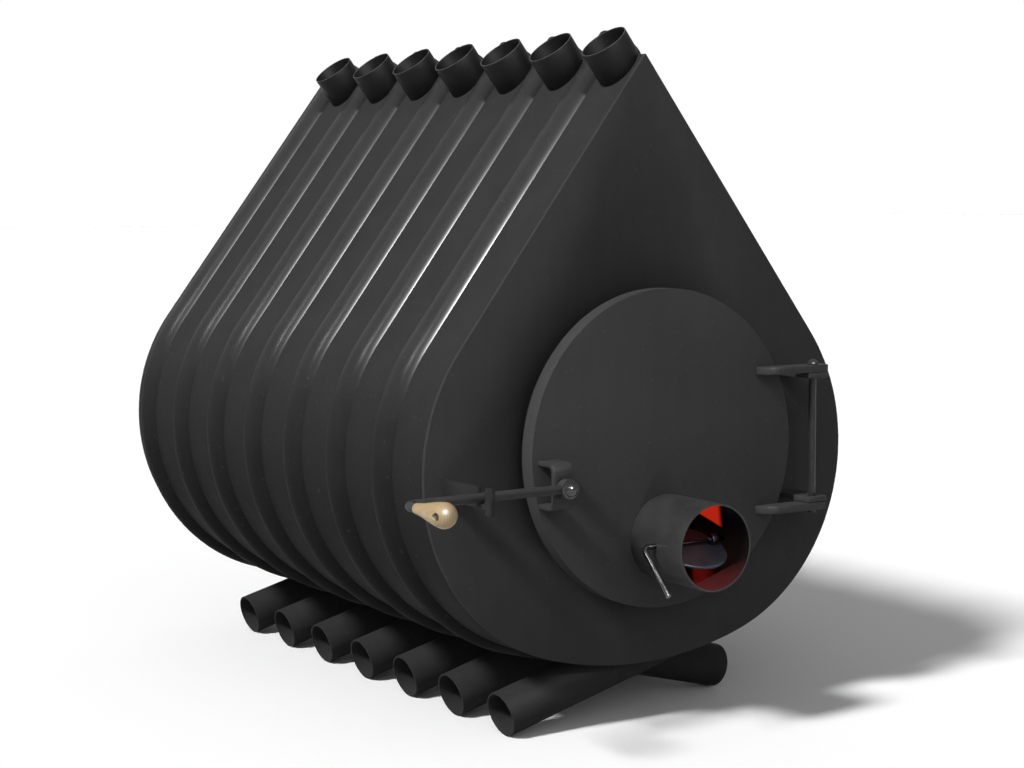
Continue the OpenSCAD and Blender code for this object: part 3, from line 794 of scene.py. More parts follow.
@dataclass(frozen=True)
class Edge:
    """Plane that bounds a patch of painted fire light.

    Args:
        place: A place in the plane, from the middle of the inlet's rim.
        way: Direction into the patch.
        softness: Half the width over which the light fades.
    """

    place: Triple
    way: Vector
    softness: float = 0.0012


@dataclass(frozen=True)
class Glow:
    """Part of a surface with painted fire light, inside all of its edges.

    Args:
        colour: Colour of the light.
        edges: Planes that bound the patch.
        patchy: How much darker blots break it up, from 0 to 1.
        blots: How many blots there are to a metre.
    """

    colour: Triple
    edges: tuple[Edge, ...]
    patchy: float = 0.25
    blots: float = 70.0

    def share(self, nodes: Shading, rim: Vector) -> Socket:
        """Finds how strongly the patch is lit.

        Args:
            nodes: The material's nodes.
            rim: Middle of the inlet's rim.

        Returns:
            Share of the patch's light at a place, from 0 to 1.
        """
        blots = nodes.noise(nodes.coords, self.blots, detail=2, rough=0.5)
        share = nodes.band(blots, 0.4, 0.6, 1 - self.patchy, 1)
        for edge in self.edges:
            inside = nodes.along(nodes.coords, rim + Vector(edge.place), edge.way.normalized())
            share = nodes.math("MULTIPLY", share, nodes.band(inside, -edge.softness, edge.softness))
        return share


@dataclass(frozen=True)
class GlowingSteel(SteelFinish):
    """Steel that is darker near the inlet's axis, with patches of painted fire light there.

    Args:
        rim: Middle of the inlet's rim.
        reach: Distance from the axis inside which the surface is darker and has painted fire light.
        glows: The patches of painted fire light.
        soot: Colour of the darker part.
        soot_specular: Specular level of the darker part.
    """

    rim: Vector = field(default_factory=Vector)
    reach: float = 0.05
    glows: tuple[Glow, ...] = ()
    soot: Triple = (0.003, 0.003, 0.003)
    soot_specular: float = 0.04

    def shade(self, nodes: Shading) -> None:
        """Fills in the shader.

        Args:
            nodes: The material's nodes.
        """
        super().shade(nodes)
        squares = [nodes.math("MULTIPLY", part, part) for part in nodes.across(self.rim.x, self.rim.z)]
        from_axis = nodes.math("SQRT", nodes.math("ADD", *squares))
        # Darker inside the tube, near the inlet's axis.
        inside_share = nodes.band(from_axis, self.reach, self.reach + MM / 2, 1, 0)
        # Painted fire light: the patches glow by emission inside the tube.
        light = BLACK
        for glow in self.glows:
            share = nodes.math("MULTIPLY", glow.share(nodes, self.rim), inside_share)
            light = nodes.blend(share, light, glow.colour)
        nodes.set(
            Base_Color=nodes.blend(inside_share, nodes.ground(), self.soot),
            Specular_IOR_Level=nodes.band(inside_share, 0, 1, self.specular, self.soot_specular),
            Emission_Color=light,
            Emission_Strength=1.0,
        )


@dataclass(frozen=True)
class WoodFinish(Finish):
    """Turned hardwood, oiled, with its grain along Y.

    Args:
        pale: Colour of the wide part of the growth rings.
        brown: Colour of their narrow part.
        fibre: Colour of the fibres.
        fibre_band: Values of the grain between which a fibre shows.
        fibre_share: How much of the fibres' colour shows.
        smooth: Roughness on a fibre.
        rough: Roughness between the fibres.
        oil: Strength of the oiled layer.
        oil_roughness: Roughness of that layer.
    """

    pale: Triple = (0.42, 0.30, 0.155)
    brown: Triple = (0.37, 0.26, 0.13)
    fibre: Triple = (0.46, 0.335, 0.18)
    fibre_band: tuple[float, float] = (0.35, 0.7)
    fibre_share: float = 0.4
    smooth: float = 0.38
    rough: float = 0.5
    oil: float = 0.15
    oil_roughness: float = 0.3

    def shade(self, nodes: Shading) -> None:
        """Fills in the shader.

        Args:
            nodes: The material's nodes.
        """
        grain = nodes.place_group(wood_grain_group())
        fibres = nodes.band(grain["Fibres"], *self.fibre_band)
        rings = nodes.blend(grain["Ring"], self.pale, self.brown)
        nodes.set(
            Base_Color=nodes.blend(nodes.math("MULTIPLY", fibres, self.fibre_share), rings, self.fibre),
            Roughness=nodes.band(fibres, 0, 1, self.rough, self.smooth),
            Coat_Weight=self.oil,
            Coat_Roughness=self.oil_roughness,
        )
        nodes.bump(grain["Fibres"], depth=0.00008, strength=0.3)


@dataclass(frozen=True)
class RopeFinish(Finish):
    """Braided glass fibre rope laid in a ring round the door's axis.

    Args:
        middle: Middle of the ring.
        strands: Number of strand crossings round the ring.
        lean: How steeply the strands cross the rope.
        gap: Colour between the strands.
        strand: Colour of the strands.
        fuzz: Colour of loose fibres.
        fuzz_share: How much of it shows.
        roughness: Roughness of the rope.
    """

    middle: Vector
    strands: float = 180.0
    lean: float = 900.0
    gap: Triple = (0.12, 0.115, 0.1)
    strand: Triple = (0.42, 0.4, 0.36)
    fuzz: Triple = (0.5, 0.48, 0.44)
    fuzz_share: float = 0.4
    roughness: float = 0.9

    def shade(self, nodes: Shading) -> None:
        """Fills in the shader.

        Args:
            nodes: The material's nodes.
        """
        from_x, from_z = nodes.across(self.middle.x, self.middle.z)
        angle = nodes.math("MULTIPLY", nodes.math("ARCTAN2", from_z, from_x), self.strands)
        lean = nodes.math("MULTIPLY", nodes.along(nodes.coords, Vector(), BACK), self.lean)
        crossing = [nodes.math("SINE", nodes.math(way, angle, lean)) for way in ("ADD", "SUBTRACT")]
        weave = nodes.band(nodes.math("MAXIMUM", *crossing), -0.6, 1.0)
        fibres = nodes.noise(nodes.coords, 2500.0, detail=2, rough=0.6)
        colour = nodes.blend(weave, self.gap, self.strand)
        colour = nodes.blend(nodes.math("MULTIPLY", fibres, self.fuzz_share), colour, self.fuzz)
        nodes.set(Base_Color=colour, Roughness=self.roughness)
        nodes.bump(weave, depth=0.0012, strength=0.8)


@dataclass(frozen=True)
class BodySizes:
    """Driving sizes of the body, in metres and radians, seen from the front."""

    side_centre_x: float = 0.079
    side_centre_z: float = 0.350
    side_r: float = 0.2575
    bottom_r: float = 0.521
    roof_angle: float = math.radians(52.62)
    tube_r: float = 0.03015
    tube_wall: float = 0.0026
    tube_inset: float = 0.0185
    leg_slope: float = math.radians(14.8)
    sleeve_r: float = 0.0323
    sleeve_gap: float = 0.0002
    socket_wall: float = 0.0013
    weld_gap: float = 0.0003
    sleeve_rise: float = 0.0402
    socket_depth: float = 0.020
    tubes_per_row: int = 7

    @property
    def roof_normal(self) -> Vector:
        """Outward normal of the right roof side."""
        return Vector((math.sin(self.roof_angle), 0, math.cos(self.roof_angle)))

    @property
    def roof_rise(self) -> Vector:
        """Direction up along the right roof side."""
        return Vector((-math.cos(self.roof_angle), 0, math.sin(self.roof_angle)))

    @property
    def side_centre(self) -> Vector:
        """Centre of the right side round, at Y = 0."""
        return Vector((self.side_centre_x, 0, self.side_centre_z))

    @property
    def bottom_centre(self) -> Vector:
        """Centre of the round bottom, at Y = 0."""
        between = self.bottom_r - self.side_r
        return Vector((0, 0, self.side_centre_z + math.sqrt(between**2 - self.side_centre_x**2)))

    @property
    def apex_z(self) -> float:
        """Height of the ridge."""
        normal = self.roof_normal
        return self.side_centre_z + (self.side_r + self.side_centre_x * normal.x) / normal.z

    @property
    def bend_r(self) -> float:
        """Bend radius of the tubes' centre line."""
        return self.side_r - self.tube_inset

    @property
    def roof_foot(self) -> Vector:
        """Where the right row's bends end and their upper straights begin, at Y = 0."""
        return self.side_centre + self.roof_normal * self.bend_r

    @property
    def ridge_length(self) -> float:
        """Length of a tube's upper straight, up to the plane of the opposite roof side."""
        foot, normal = self.roof_foot, self.roof_normal
        return (normal.x * foot.x + (self.apex_z - foot.z) * normal.z) / (2 * normal.x * normal.z)


class Stove:
    """What all sub-assemblies share: the body's sizes and where the stove stands in the frame."""

    def __init__(self) -> None:
        """Finds the stove's place from its front plate."""
        self.sizes = BodySizes()
        plate = NodeBox.of("front_plate")
        self.origin = Vector((plate.middle.x, plate.low.y, 0))
        self.plate_t = plate.size.y

    def at(self, x: float, y: float, z: float) -> Vector:
        """A place given from the stove's middle, the front plate's face and the floor."""
        return self.origin + Vector((x, y, z))


@dataclass
class AirTubes:
    """One row of air tubes with the outlet sleeves on their upper ends.

    Args:
        stove: The stove that carries the row.
        hand: Side that the row bends round.
        steel: Finish of the tubes.
        black: Finish of the sleeves.
    """

    stove: Stove
    hand: Hand
    steel: Finish
    black: Finish
    bend_steps: int = 72
    tube_sides: int = 48
    sleeve_sides: int = 72
    tube_lip: float = 0.0008
    sleeve_lip: float = 0.0004

    def mirrored(self, x_z: Vector, y: float) -> Vector:
        """A place drawn for the right row, in this row and at a depth in the frame."""
        return Vector((self.stove.origin.x + self.hand.value * x_z.x, y, x_z.z))

    def turned(self, direction: Vector) -> Vector:
        """A direction drawn for the right row, in this row."""
        return Vector((self.hand.value * direction.x, direction.y, direction.z))

    def depth(self, k: int) -> float:
        """Depth in the frame of tube k's axis, counted from 1."""
        return NodeBox.of(f"{self.hand.word}_air_tube_{k}").middle.y

    def tube(self, y: float) -> Workpiece:
        """Bends the first tube from its lower mouth to its upper end.

        Args:
            y: Depth of its axis in the frame.

        Returns:
            The tube.
        """
        s = self.stove.sizes
        along_leg = Vector((math.cos(s.leg_slope), 0, math.sin(s.leg_slope)))
        foot_side = Vector((math.sin(s.leg_slope), 0, -math.cos(s.leg_slope)))
        leg_top = s.side_centre + foot_side * s.bend_r
        leg_length = (leg_top.z - s.tube_r * math.cos(s.leg_slope)) / math.sin(s.leg_slope)
        mouth = self.mirrored(leg_top - along_leg * leg_length, y)
        bend_angle = math.pi - s.roof_angle - s.leg_slope
        upper_length = s.ridge_length + s.sleeve_rise - s.socket_depth
        piece = Workpiece(f"{self.hand.word}_bent_tube_1")
        piece.ring(mouth, s.tube_r, self.turned(along_leg), solid=False, sides=self.tube_sides)
        piece.run(self.turned(along_leg) * leg_length)
        piece.bend(self.mirrored(s.side_centre, y), -BACK, self.hand.value * bend_angle, self.bend_steps)
        piece.run(self.turned(s.roof_rise) * upper_length)
        return piece.wall(s.tube_wall).bevel(self.tube_lip, above=60)

    def sleeve(self, y: float) -> Workpiece:
        """Turns the first sleeve, with a socket above the tube's end and a rounded lip.

        Args:
            y: Depth of its axis in the frame.

        Returns:
            The sleeve.
        """
        s = self.stove.sizes
        bore_r = s.tube_r + s.sleeve_gap
        socket_r = s.sleeve_r - s.socket_wall
        top = s.ridge_length + s.sleeve_rise
        start = s.ridge_length - s.sleeve_r
        socket = top - s.socket_depth
        profile = [
            (bore_r, start), (s.sleeve_r, start), (s.sleeve_r, top),
            (socket_r, top), (socket_r, socket), (bore_r, socket),
        ]
        foot, way = self.mirrored(s.roof_foot, y), self.turned(s.roof_rise)
        piece = lathe(f"{self.hand.word}_sleeve_1", profile, foot, way, self.sleeve_sides)
        opposite = Vector((-s.roof_normal.x, 0, s.roof_normal.z))
        piece.cut(self.mirrored(UP * (s.apex_z + s.weld_gap), y), self.turned(opposite))
        return piece.bevel(self.sleeve_lip, above=70)

    def build(self) -> None:
        """Builds one tube and one sleeve and copies them down the row."""
        row, first = self.hand.word, self.depth(1)
        tube, sleeve = self.tube(first), self.sleeve(first)
        pairs = [(1, tube, sleeve)]
        for k in range(2, self.stove.sizes.tubes_per_row + 1):
            step = BACK * (self.depth(k) - first)
            pairs.append((k, tube.copy(f"{row}_bent_tube_{k}", step), sleeve.copy(f"{row}_sleeve_{k}", step)))
        for k, one_tube, one_sleeve in pairs:
            one_tube.dress(self.steel, Body.STOVE, f"{row}_air_tube_{k}")
            one_sleeve.dress(self.black, Body.STOVE, f"{row}_outlet_sleeves")


@dataclass
class EndPlates:
    """Front and back plate, cut to the body's outline with a round opening each.

    Args:
        stove: The stove.
        steel: Finish of the plates.
    """

    stove: Stove
    steel: Finish
    edge: float = 0.0005
    round_steps: int = 40
    bottom_steps: int = 28
    collar_overlap: float = 0.003

    def plate(self, name: str, node: str, centre_z: float, radius: float) -> None:
        """Cuts one plate.

        Args:
            name: Name of the piece.
            node: The construction node that it stands for.
            centre_z: Height of the opening's centre.
            radius: Radius of the opening.
        """
        s = self.stove.sizes
        box = NodeBox.of(node)
        origin = Vector((self.stove.origin.x, box.low.y, 0))
        apex = origin + UP * s.apex_z
        right_side = origin + s.side_centre
        left_side = origin + Vector((-s.side_centre.x, 0, s.side_centre.z))
        down = math.atan2(s.side_centre_z - s.bottom_centre.z, s.side_centre_x)
        side_turn = down - (math.pi / 2 - s.roof_angle)
        piece = Workpiece(name).point(apex)
        piece.to(right_side + s.roof_normal * s.side_r)
        piece.bend(right_side, -BACK, side_turn, self.round_steps)
        piece.bend(origin + s.bottom_centre, -BACK, -math.pi - 2 * down, self.bottom_steps)
        piece.bend(left_side, -BACK, side_turn, self.round_steps)
        piece.to(apex).fill_and_extrude(BACK * box.size.y)
        piece.bore(Vector((origin.x, box.middle.y, centre_z)), BACK, radius, 4 * self.stove.plate_t)
        piece.bevel(self.edge).dress(self.steel, Body.STOVE, node)

    def build(self) -> None:
        """Cuts both plates round the door's frame ring and the flue collar."""
        ring, collar = NodeBox.of("door_frame_ring"), NodeBox.of("flue_collar")
        self.plate("front_wall", "front_plate", ring.middle.z, ring.size.x / 2 + FIT_GAP)
        self.plate("back_wall", "back_plate", collar.middle.z, collar.size.x / 2 - self.collar_overlap)


@dataclass
class Door:
    """Dished round door with its inlet tube.

    Args:
        steel: Finish of the door.
        inlet_steel: Finish of the inlet tube.
    """

    steel: Finish
    inlet_steel: Finish
    shell_t: float = 0.006
    edge: float = 0.0022
    inlet_wall: float = 0.003
    inlet_edge: float = 0.0009
    lever_hole_r: float = 0.0039

    def build(self) -> None:
        """Turns the door's dish and the inlet tube."""
        panel, inlet = NodeBox.of("door_panel"), NodeBox.of("inlet_tube")
        radius, depth, t = panel.size.x / 2, panel.size.y, self.shell_t
        outer, length = inlet.size.x / 2, inlet.size.y
        inner = outer - self.inlet_wall
        profile = [(0, 0), (radius, 0), (radius, depth), (radius - t, depth), (radius - t, t), (0, t)]
        dish = lathe("door_dish", profile, panel.front, BACK, steps=144)
        dish.bore(Vector((inlet.middle.x, panel.low.y, inlet.middle.z)), BACK, outer + FIT_GAP, 4 * t)
        dish.bevel(self.edge, segments=3).dress(self.steel, Body.DOOR, "door_panel")

        profile = [(inner, 0), (outer, 0), (outer, length), (inner, length)]
        tube = lathe("inlet_neck", profile, inlet.front, BACK, steps=128)
        tube.bore(Damper.axis(), RIGHT, self.lever_hole_r, 3 * outer)
        tube.bevel(self.inlet_edge, segments=3).dress(self.inlet_steel, Body.DOOR, "inlet_tube")


@dataclass
class Damper:
    """Round flap in the inlet, hung by two collars from the rod that is bent into a lever outside.

    Args:
        steel: Finish of the flap.
        bright: Finish of the rod and the collars, darker inside the tube.
    """

    steel: Finish
    bright: Finish
    disc_r: float = 0.0505
    disc_t: float = 0.004
    disc_edge: float = 0.0014
    drop: float = 0.0085
    tilt: float = math.radians(22)
    collar_r: float = 0.00725
    collar_inset: float = 0.0035
    collar_length: float = 0.014
    collar_edge: float = 0.0012
    rod_r: float = 0.00375
    rod_out: float = 0.008
    rod_edge: float = 0.0015
    corner_r: float = 0.009
    lever_length: float = 0.076
    lever_angle: float = math.radians(45)

    @classmethod
    def axis(cls) -> Vector:
        """Where the rod's axis crosses the inlet tube's axis."""
        rod_high = NodeBox.of("inlet_damper_rod").high
        return Vector((NodeBox.of("inlet_tube").middle.x, rod_high.y - cls.rod_r, rod_high.z - cls.rod_r))

    def build(self) -> None:
        """Turns the flap and its collars and bends the rod."""
        centre, t = self.axis(), self.disc_t
        across = Vector((0, -math.sin(self.tilt), math.cos(self.tilt)))
        foot = centre - across * (self.drop + t / 2)
        disc = lathe("damper_flap", [(0, 0), (self.disc_r, 0), (self.disc_r, t), (0, t)], foot, across)
        disc.bevel(self.disc_edge, segments=3).dress(self.steel, Body.INLET_DAMPER, "inlet_damper_disc")
        half = self.disc_r * math.cos(math.asin(self.collar_r / self.disc_r)) - self.collar_inset
        for hand in Hand:
            way = RIGHT * hand.value
            collar = Workpiece(f"{hand.word}_damper_collar")
            collar.ring(centre + way * half, self.collar_r, -way, solid=True, sides=40)
            collar.run(-way * self.collar_length).bevel(self.collar_edge)
            collar.dress(self.bright, Body.INLET_DAMPER, "inlet_damper_disc")

        lever_x = NodeBox.of("inlet_damper_rod").low.x + self.rod_r
        end = centre + RIGHT * (NodeBox.of("inlet_tube").size.x / 2 + self.rod_out)
        down = Vector((0, -math.cos(self.lever_angle), -math.sin(self.lever_angle)))
        rod = Workpiece("damper_lever").ring(end, self.rod_r, -RIGHT, solid=True, sides=32)
        rod.run(-RIGHT * (end.x - lever_x - self.corner_r))
        rod.bend(rod.at + down * self.corner_r, (-RIGHT).cross(down), math.pi / 2, steps=12)
        rod.run(down * (self.lever_length - self.corner_r)).bevel(self.rod_edge, segments=3)
        rod.dress(self.bright, Body.INLET_DAMPER, "inlet_damper_rod")


@dataclass
class Hinge:
    """Two arms on the door, two lugs on the front plate and the pin through them.

    Args:
        steel: Finish of the arms and lugs.
        pin_steel: Finish of the pin.
    """

    steel: Finish
    pin_steel: Finish
    pin_r: float = 0.005
    pin_edge: float = 0.0006
    head_r: float = 0.00825
    head_t: float = 0.0065
    edge: float = 0.0012

    def pin_at(self, z: float) -> Vector:
        """The pin's axis at a height."""
        pin = NodeBox.of("hinge_pin").middle
        return Vector((pin.x, pin.y, z))

    def flat(self, name: str, node: str, body: Body, rounded: bool) -> None:
        """Cuts one flat piece and drills it for the pin.

        Args:
            name: Name of the piece.
            node: The construction node that it stands for.
            body: The body that it moves with.
            rounded: Whether its left end rounds back to the door.
        """
        box = NodeBox.of(node)
        low, high = box.low, box.high
        left_back = Vector((low.x, high.y, low.z))
        piece = Workpiece(name)
        if rounded:
            piece.point(left_back).bend(left_back + RIGHT * box.size.y, UP, math.pi / 2, steps=16)
        else:
            piece.point(low)
        piece.to(Vector((high.x, low.y, low.z))).to(Vector((high.x, high.y, low.z))).to(left_back)
        if not rounded:
            piece.to(low)
        piece.fill_and_extrude(UP * box.size.z)
        piece.bore(self.pin_at(box.middle.z), UP, self.pin_r + PIN_PLAY, 3 * box.size.z)
        piece.bevel(self.edge).dress(self.steel, body, node)

    def build(self) -> None:
        """Builds the arms, the lugs and the pin."""
        for place in ("upper", "lower"):
            self.flat(f"{place}_door_arm", f"{place}_hinge_arm", Body.DOOR, rounded=True)
            self.flat(f"{place}_wall_lug", f"{place}_hinge_lug", Body.STOVE, rounded=False)
        pin = NodeBox.of("hinge_pin")
        head = pin.size.z - self.head_t
        profile = [(0, 0), (self.pin_r, 0), (self.pin_r, head), *dome(self.head_r, self.head_t, head)]
        bolt = lathe("hinge_bolt", profile, self.pin_at(pin.low.z), UP, steps=48).bevel(self.pin_edge)
        bolt.dress(self.pin_steel, Body.STOVE, "hinge_pin")


@dataclass
class Latch:
    """Bow on the door, pivot bolt, lifting rod with its wooden handle, and the catch on the wall.

    Args:
        steel: Finish of the bow and the rod.
        catch_steel: Finish of the catch.
        bright: Finish of the pivot bolt and the handle's screw.
        wood: Finish of the handle.
    """

    steel: Finish
    catch_steel: Finish
    bright: Finish
    wood: Finish
    bow_t: float = 0.006
    bow_r: float = 0.012
    bow_edge: float = 0.001
    bolt_r: float = 0.005
    bolt_edge: float = 0.0005
    rod_r: float = 0.006
    rod_edge: float = 0.0005
    bar_start: float = 0.0096
    tang_back: float = 0.008
    corner_r: float = 0.014
    eye_r: float = 0.012
    eye_t: float = 0.0114
    eye_edge: float = 0.0008
    washer_t: float = 0.0025
    dome_r: float = 0.009
    dome_height: float = 0.008991
    nut_across: float = 0.015
    nut_t: float = 0.0065
    nut_edge: float = 0.0006
    slot_w: float = 0.017
    catch_h: float = 0.026
    catch_edge: float = 0.0008
    slot_gap: float = 0.0003
    handle_end_r: float = 0.0065
    nose_step: int = 6
    taper_steps: int = 10
    taper_ease: float = 0.05
    recess_r: float = 0.00475
    recess: float = 0.004
    recess_edge: float = 0.0013
    screw_back: float = 0.011
    screw_rise: float = 0.0012

    @property
    def handle_tip(self) -> Vector:
        """Front end of the handle, on its axis."""
        return NodeBox.of("latch_handle").front

    @property
    def pivot(self) -> Vector:
        """Where the rod's axis meets the pivot bolt's axis."""
        rod_y = NodeBox.of("latch_rod").high.y - self.rod_r
        return Vector((NodeBox.of("latch_bow").middle.x, rod_y, self.handle_tip.z))

    def bow(self) -> None:
        """Bends the strap that carries the pivot."""
        box, pivot = NodeBox.of("latch_bow"), self.pivot
        low, high = box.low, box.high
        t, r = self.bow_t, self.bow_r
        piece = Workpiece("latch_strap").point(Vector((low.x, high.y, low.z)))
        for depth, first, last, corner, way in (
            (low.y, low.z, high.z, r, 1),
            (low.y + t, high.z - t, low.z + t, r - t, -1),
        ):
            piece.to(Vector((low.x, high.y, first))).to(Vector((low.x, depth + corner, first)))
            piece.bend(piece.at + UP * way * corner, -RIGHT, way * math.pi / 2, steps=10)
            piece.to(Vector((low.x, depth, last - way * corner)))
            piece.bend(piece.at + BACK * corner, -RIGHT, way * math.pi / 2, steps=10)
            piece.to(Vector((low.x, high.y, last)))
        piece.to(Vector((low.x, high.y, low.z))).fill_and_extrude(RIGHT * box.size.x)
        piece.bore(Vector((pivot.x, low.y, pivot.z)), BACK, self.bolt_r + FIT_GAP, 4 * t)
        piece.bevel(self.bow_edge).dress(self.steel, Body.DOOR, "latch_bow")

    def bolt(self) -> None:
        """Turns the pivot bolt with its washer and dome, and the nut behind the strap."""
        box, pivot = NodeBox.of("latch_pivot_bolt"), self.pivot
        washer = box.size.y - self.dome_r - self.washer_t
        top = washer + self.washer_t
        profile = [
            (0, 0), (self.bolt_r, 0), (self.bolt_r, washer), (self.eye_r, washer), (self.eye_r, top),
            *dome(self.dome_r, self.dome_height, top, steps=12),
        ]
        bolt = lathe("pivot_bolt", profile, Vector((pivot.x, box.high.y, pivot.z)), -BACK, steps=64)
        bolt.bevel(self.bolt_edge, above=70).dress(self.bright, Body.DOOR, "latch_pivot_bolt")
        strap_back = Vector((pivot.x, NodeBox.of("latch_bow").low.y + self.bow_t, pivot.z))
        corner_r = self.nut_across / 2 / math.cos(math.pi / 6)
        nut = Workpiece("pivot_nut").ring(strap_back, corner_r, BACK, solid=True, sides=6)
        nut.run(BACK * self.nut_t).bevel(self.nut_edge).dress(self.bright, Body.DOOR, "latch_pivot_bolt")

    def rod(self) -> None:
        """Bends the rod, with its eye on the bolt and its tang in the handle."""
        pivot, tip = self.pivot, self.handle_tip
        tang_end = Vector((tip.x, NodeBox.of("latch_handle").high.y - self.tang_back, pivot.z))
        rod = Workpiece("latch_bar")
        rod.ring(pivot - RIGHT * self.bar_start, self.rod_r, -RIGHT, solid=True, sides=40)
        rod.to(Vector((tip.x + self.corner_r, pivot.y, pivot.z)))
        rod.bend(rod.at - BACK * self.corner_r, UP, math.pi / 2, steps=14)
        rod.to(tang_end).bevel(self.rod_edge).dress(self.steel, Body.LATCH, "latch_rod")
        bore_r, t = self.bolt_r + PIN_PLAY, self.eye_t
        profile = [(bore_r, 0), (self.eye_r, 0), (self.eye_r, t), (bore_r, t)]
        eye = lathe("latch_eye", profile, pivot - BACK * t / 2, BACK, steps=56)
        eye.bevel(self.eye_edge).dress(self.steel, Body.LATCH, "latch_rod")

    def handle(self) -> None:
        """Turns the handle, thick and round in front and slim at the rod, and its screw."""
        box, tip = NodeBox.of("latch_handle"), self.handle_tip
        thick, length, slim = box.size.x / 2, box.size.y, self.handle_end_r
        nose = [(0, 0)]
        for degrees in range(90 - self.nose_step, -1, -self.nose_step):
            angle = math.radians(degrees)
            nose.append((thick * math.cos(angle), thick * (1 - math.sin(angle))))
        taper = []
        for i in range(1, self.taper_steps + 1):
            share = i / self.taper_steps
            ease = share - self.taper_ease * math.sin(math.tau * share)
            taper.append((thick + (slim - thick) * ease, thick + (length - thick) * share))
        handle = lathe("wooden_handle", [*nose, *taper, (0, length)], tip, BACK, steps=72)
        screw_at = Vector((box.low.x, box.low.y + self.screw_back, tip.z))
        handle.bore(screw_at, RIGHT, self.recess_r, 2 * self.recess)
        handle.bevel(self.recess_edge, segments=3, above=50).dress(self.wood, Body.LATCH, "latch_handle")
        head_r, rise = self.recess_r - FIT_GAP, self.screw_rise
        head = [(0, 0), (head_r, 0), *dome(head_r, rise, rise, steps=6)]
        screw = lathe("handle_bolt", head, screw_at + RIGHT * self.recess, -RIGHT, steps=40)
        screw.dress(self.bright, Body.LATCH, "handle_screw")

    def catch(self) -> None:
        """Cuts the hook plate whose slot takes the rod."""
        box, rod = NodeBox.of("latch_catch"), self.pivot
        low, high = box.low, box.high
        back_y = rod.y + self.rod_r + self.slot_gap
        front_y = back_y - self.slot_w
        floor_z = rod.z - self.rod_r - self.slot_gap
        bar_z = high.z - self.catch_h
        corners = [
            (high.y, bar_z), (high.y, high.z), (back_y, high.z), (back_y, floor_z), (front_y, floor_z),
            (front_y, high.z), (low.y, high.z), (low.y, low.z), (front_y, low.z), (front_y, bar_z),
        ]
        piece = Workpiece("catch_plate").point(Vector((low.x, *corners[0])))
        for corner in corners[1:] + corners[:1]:
            piece.to(Vector((low.x, *corner)))
        piece.fill_and_extrude(RIGHT * box.size.x).bevel(self.catch_edge)
        piece.dress(self.catch_steel, Body.STOVE, "latch_catch")

    def build(self) -> None:
        """Builds all pieces of the latch."""
        for part in (self.bow, self.bolt, self.rod, self.handle, self.catch):
            part()


@dataclass
class CarriedNodes:
    """Construction nodes that get their finishes.

    Args:
        finishes: For each finish, the starts of the names of the nodes that have it.
    """

    finishes: list[tuple[Finish, tuple[str, ...]]]

    def build(self, nodes: dict[str, bpy.types.Object]) -> None:
        """Assigns the finishes to the nodes' material slots.

        Args:
            nodes: The construction nodes by name.
        """
        for finish, starts in self.finishes:
            for name, node in nodes.items():
                if name.startswith(starts):
                    node.data.materials.clear()
                    node.data.materials.append(finish.material())
                    LOG.info("%s: %s", name, finish.name)


@dataclass(frozen=True)
class SunLamp:
    """Lamp far away that lights matt surfaces, or shows only in reflections.

    Args:
        name: Name of the lamp.
        way: Direction that it shines in.
        strength: Strength of its light.
        spread: Width that it seems to have, in degrees.
        mirrored: Whether it shows only in reflections.
        distance: How far it hangs from what it shines at.
    """

    name: str
    way: Triple
    strength: float
    spread: float
    mirrored: bool = False
    distance: float = 3.0

    def build(self, centre: Vector) -> None:
        """Hangs the lamp.

        Args:
            centre: What it shines at.
        """
        deselect()
        way = Vector(self.way)
        bpy.ops.object.light_add(type="SUN", location=centre - way * self.distance)
        lamp = bpy.context.active_object
        lamp.name = self.name
        lamp.data.energy = self.strength
        lamp.data.angle = math.radians(self.spread)
        lamp.visible_glossy = self.mirrored
        lamp.visible_diffuse = not self.mirrored
        lamp.rotation_euler = way.to_track_quat("-Z", "Y").to_euler()


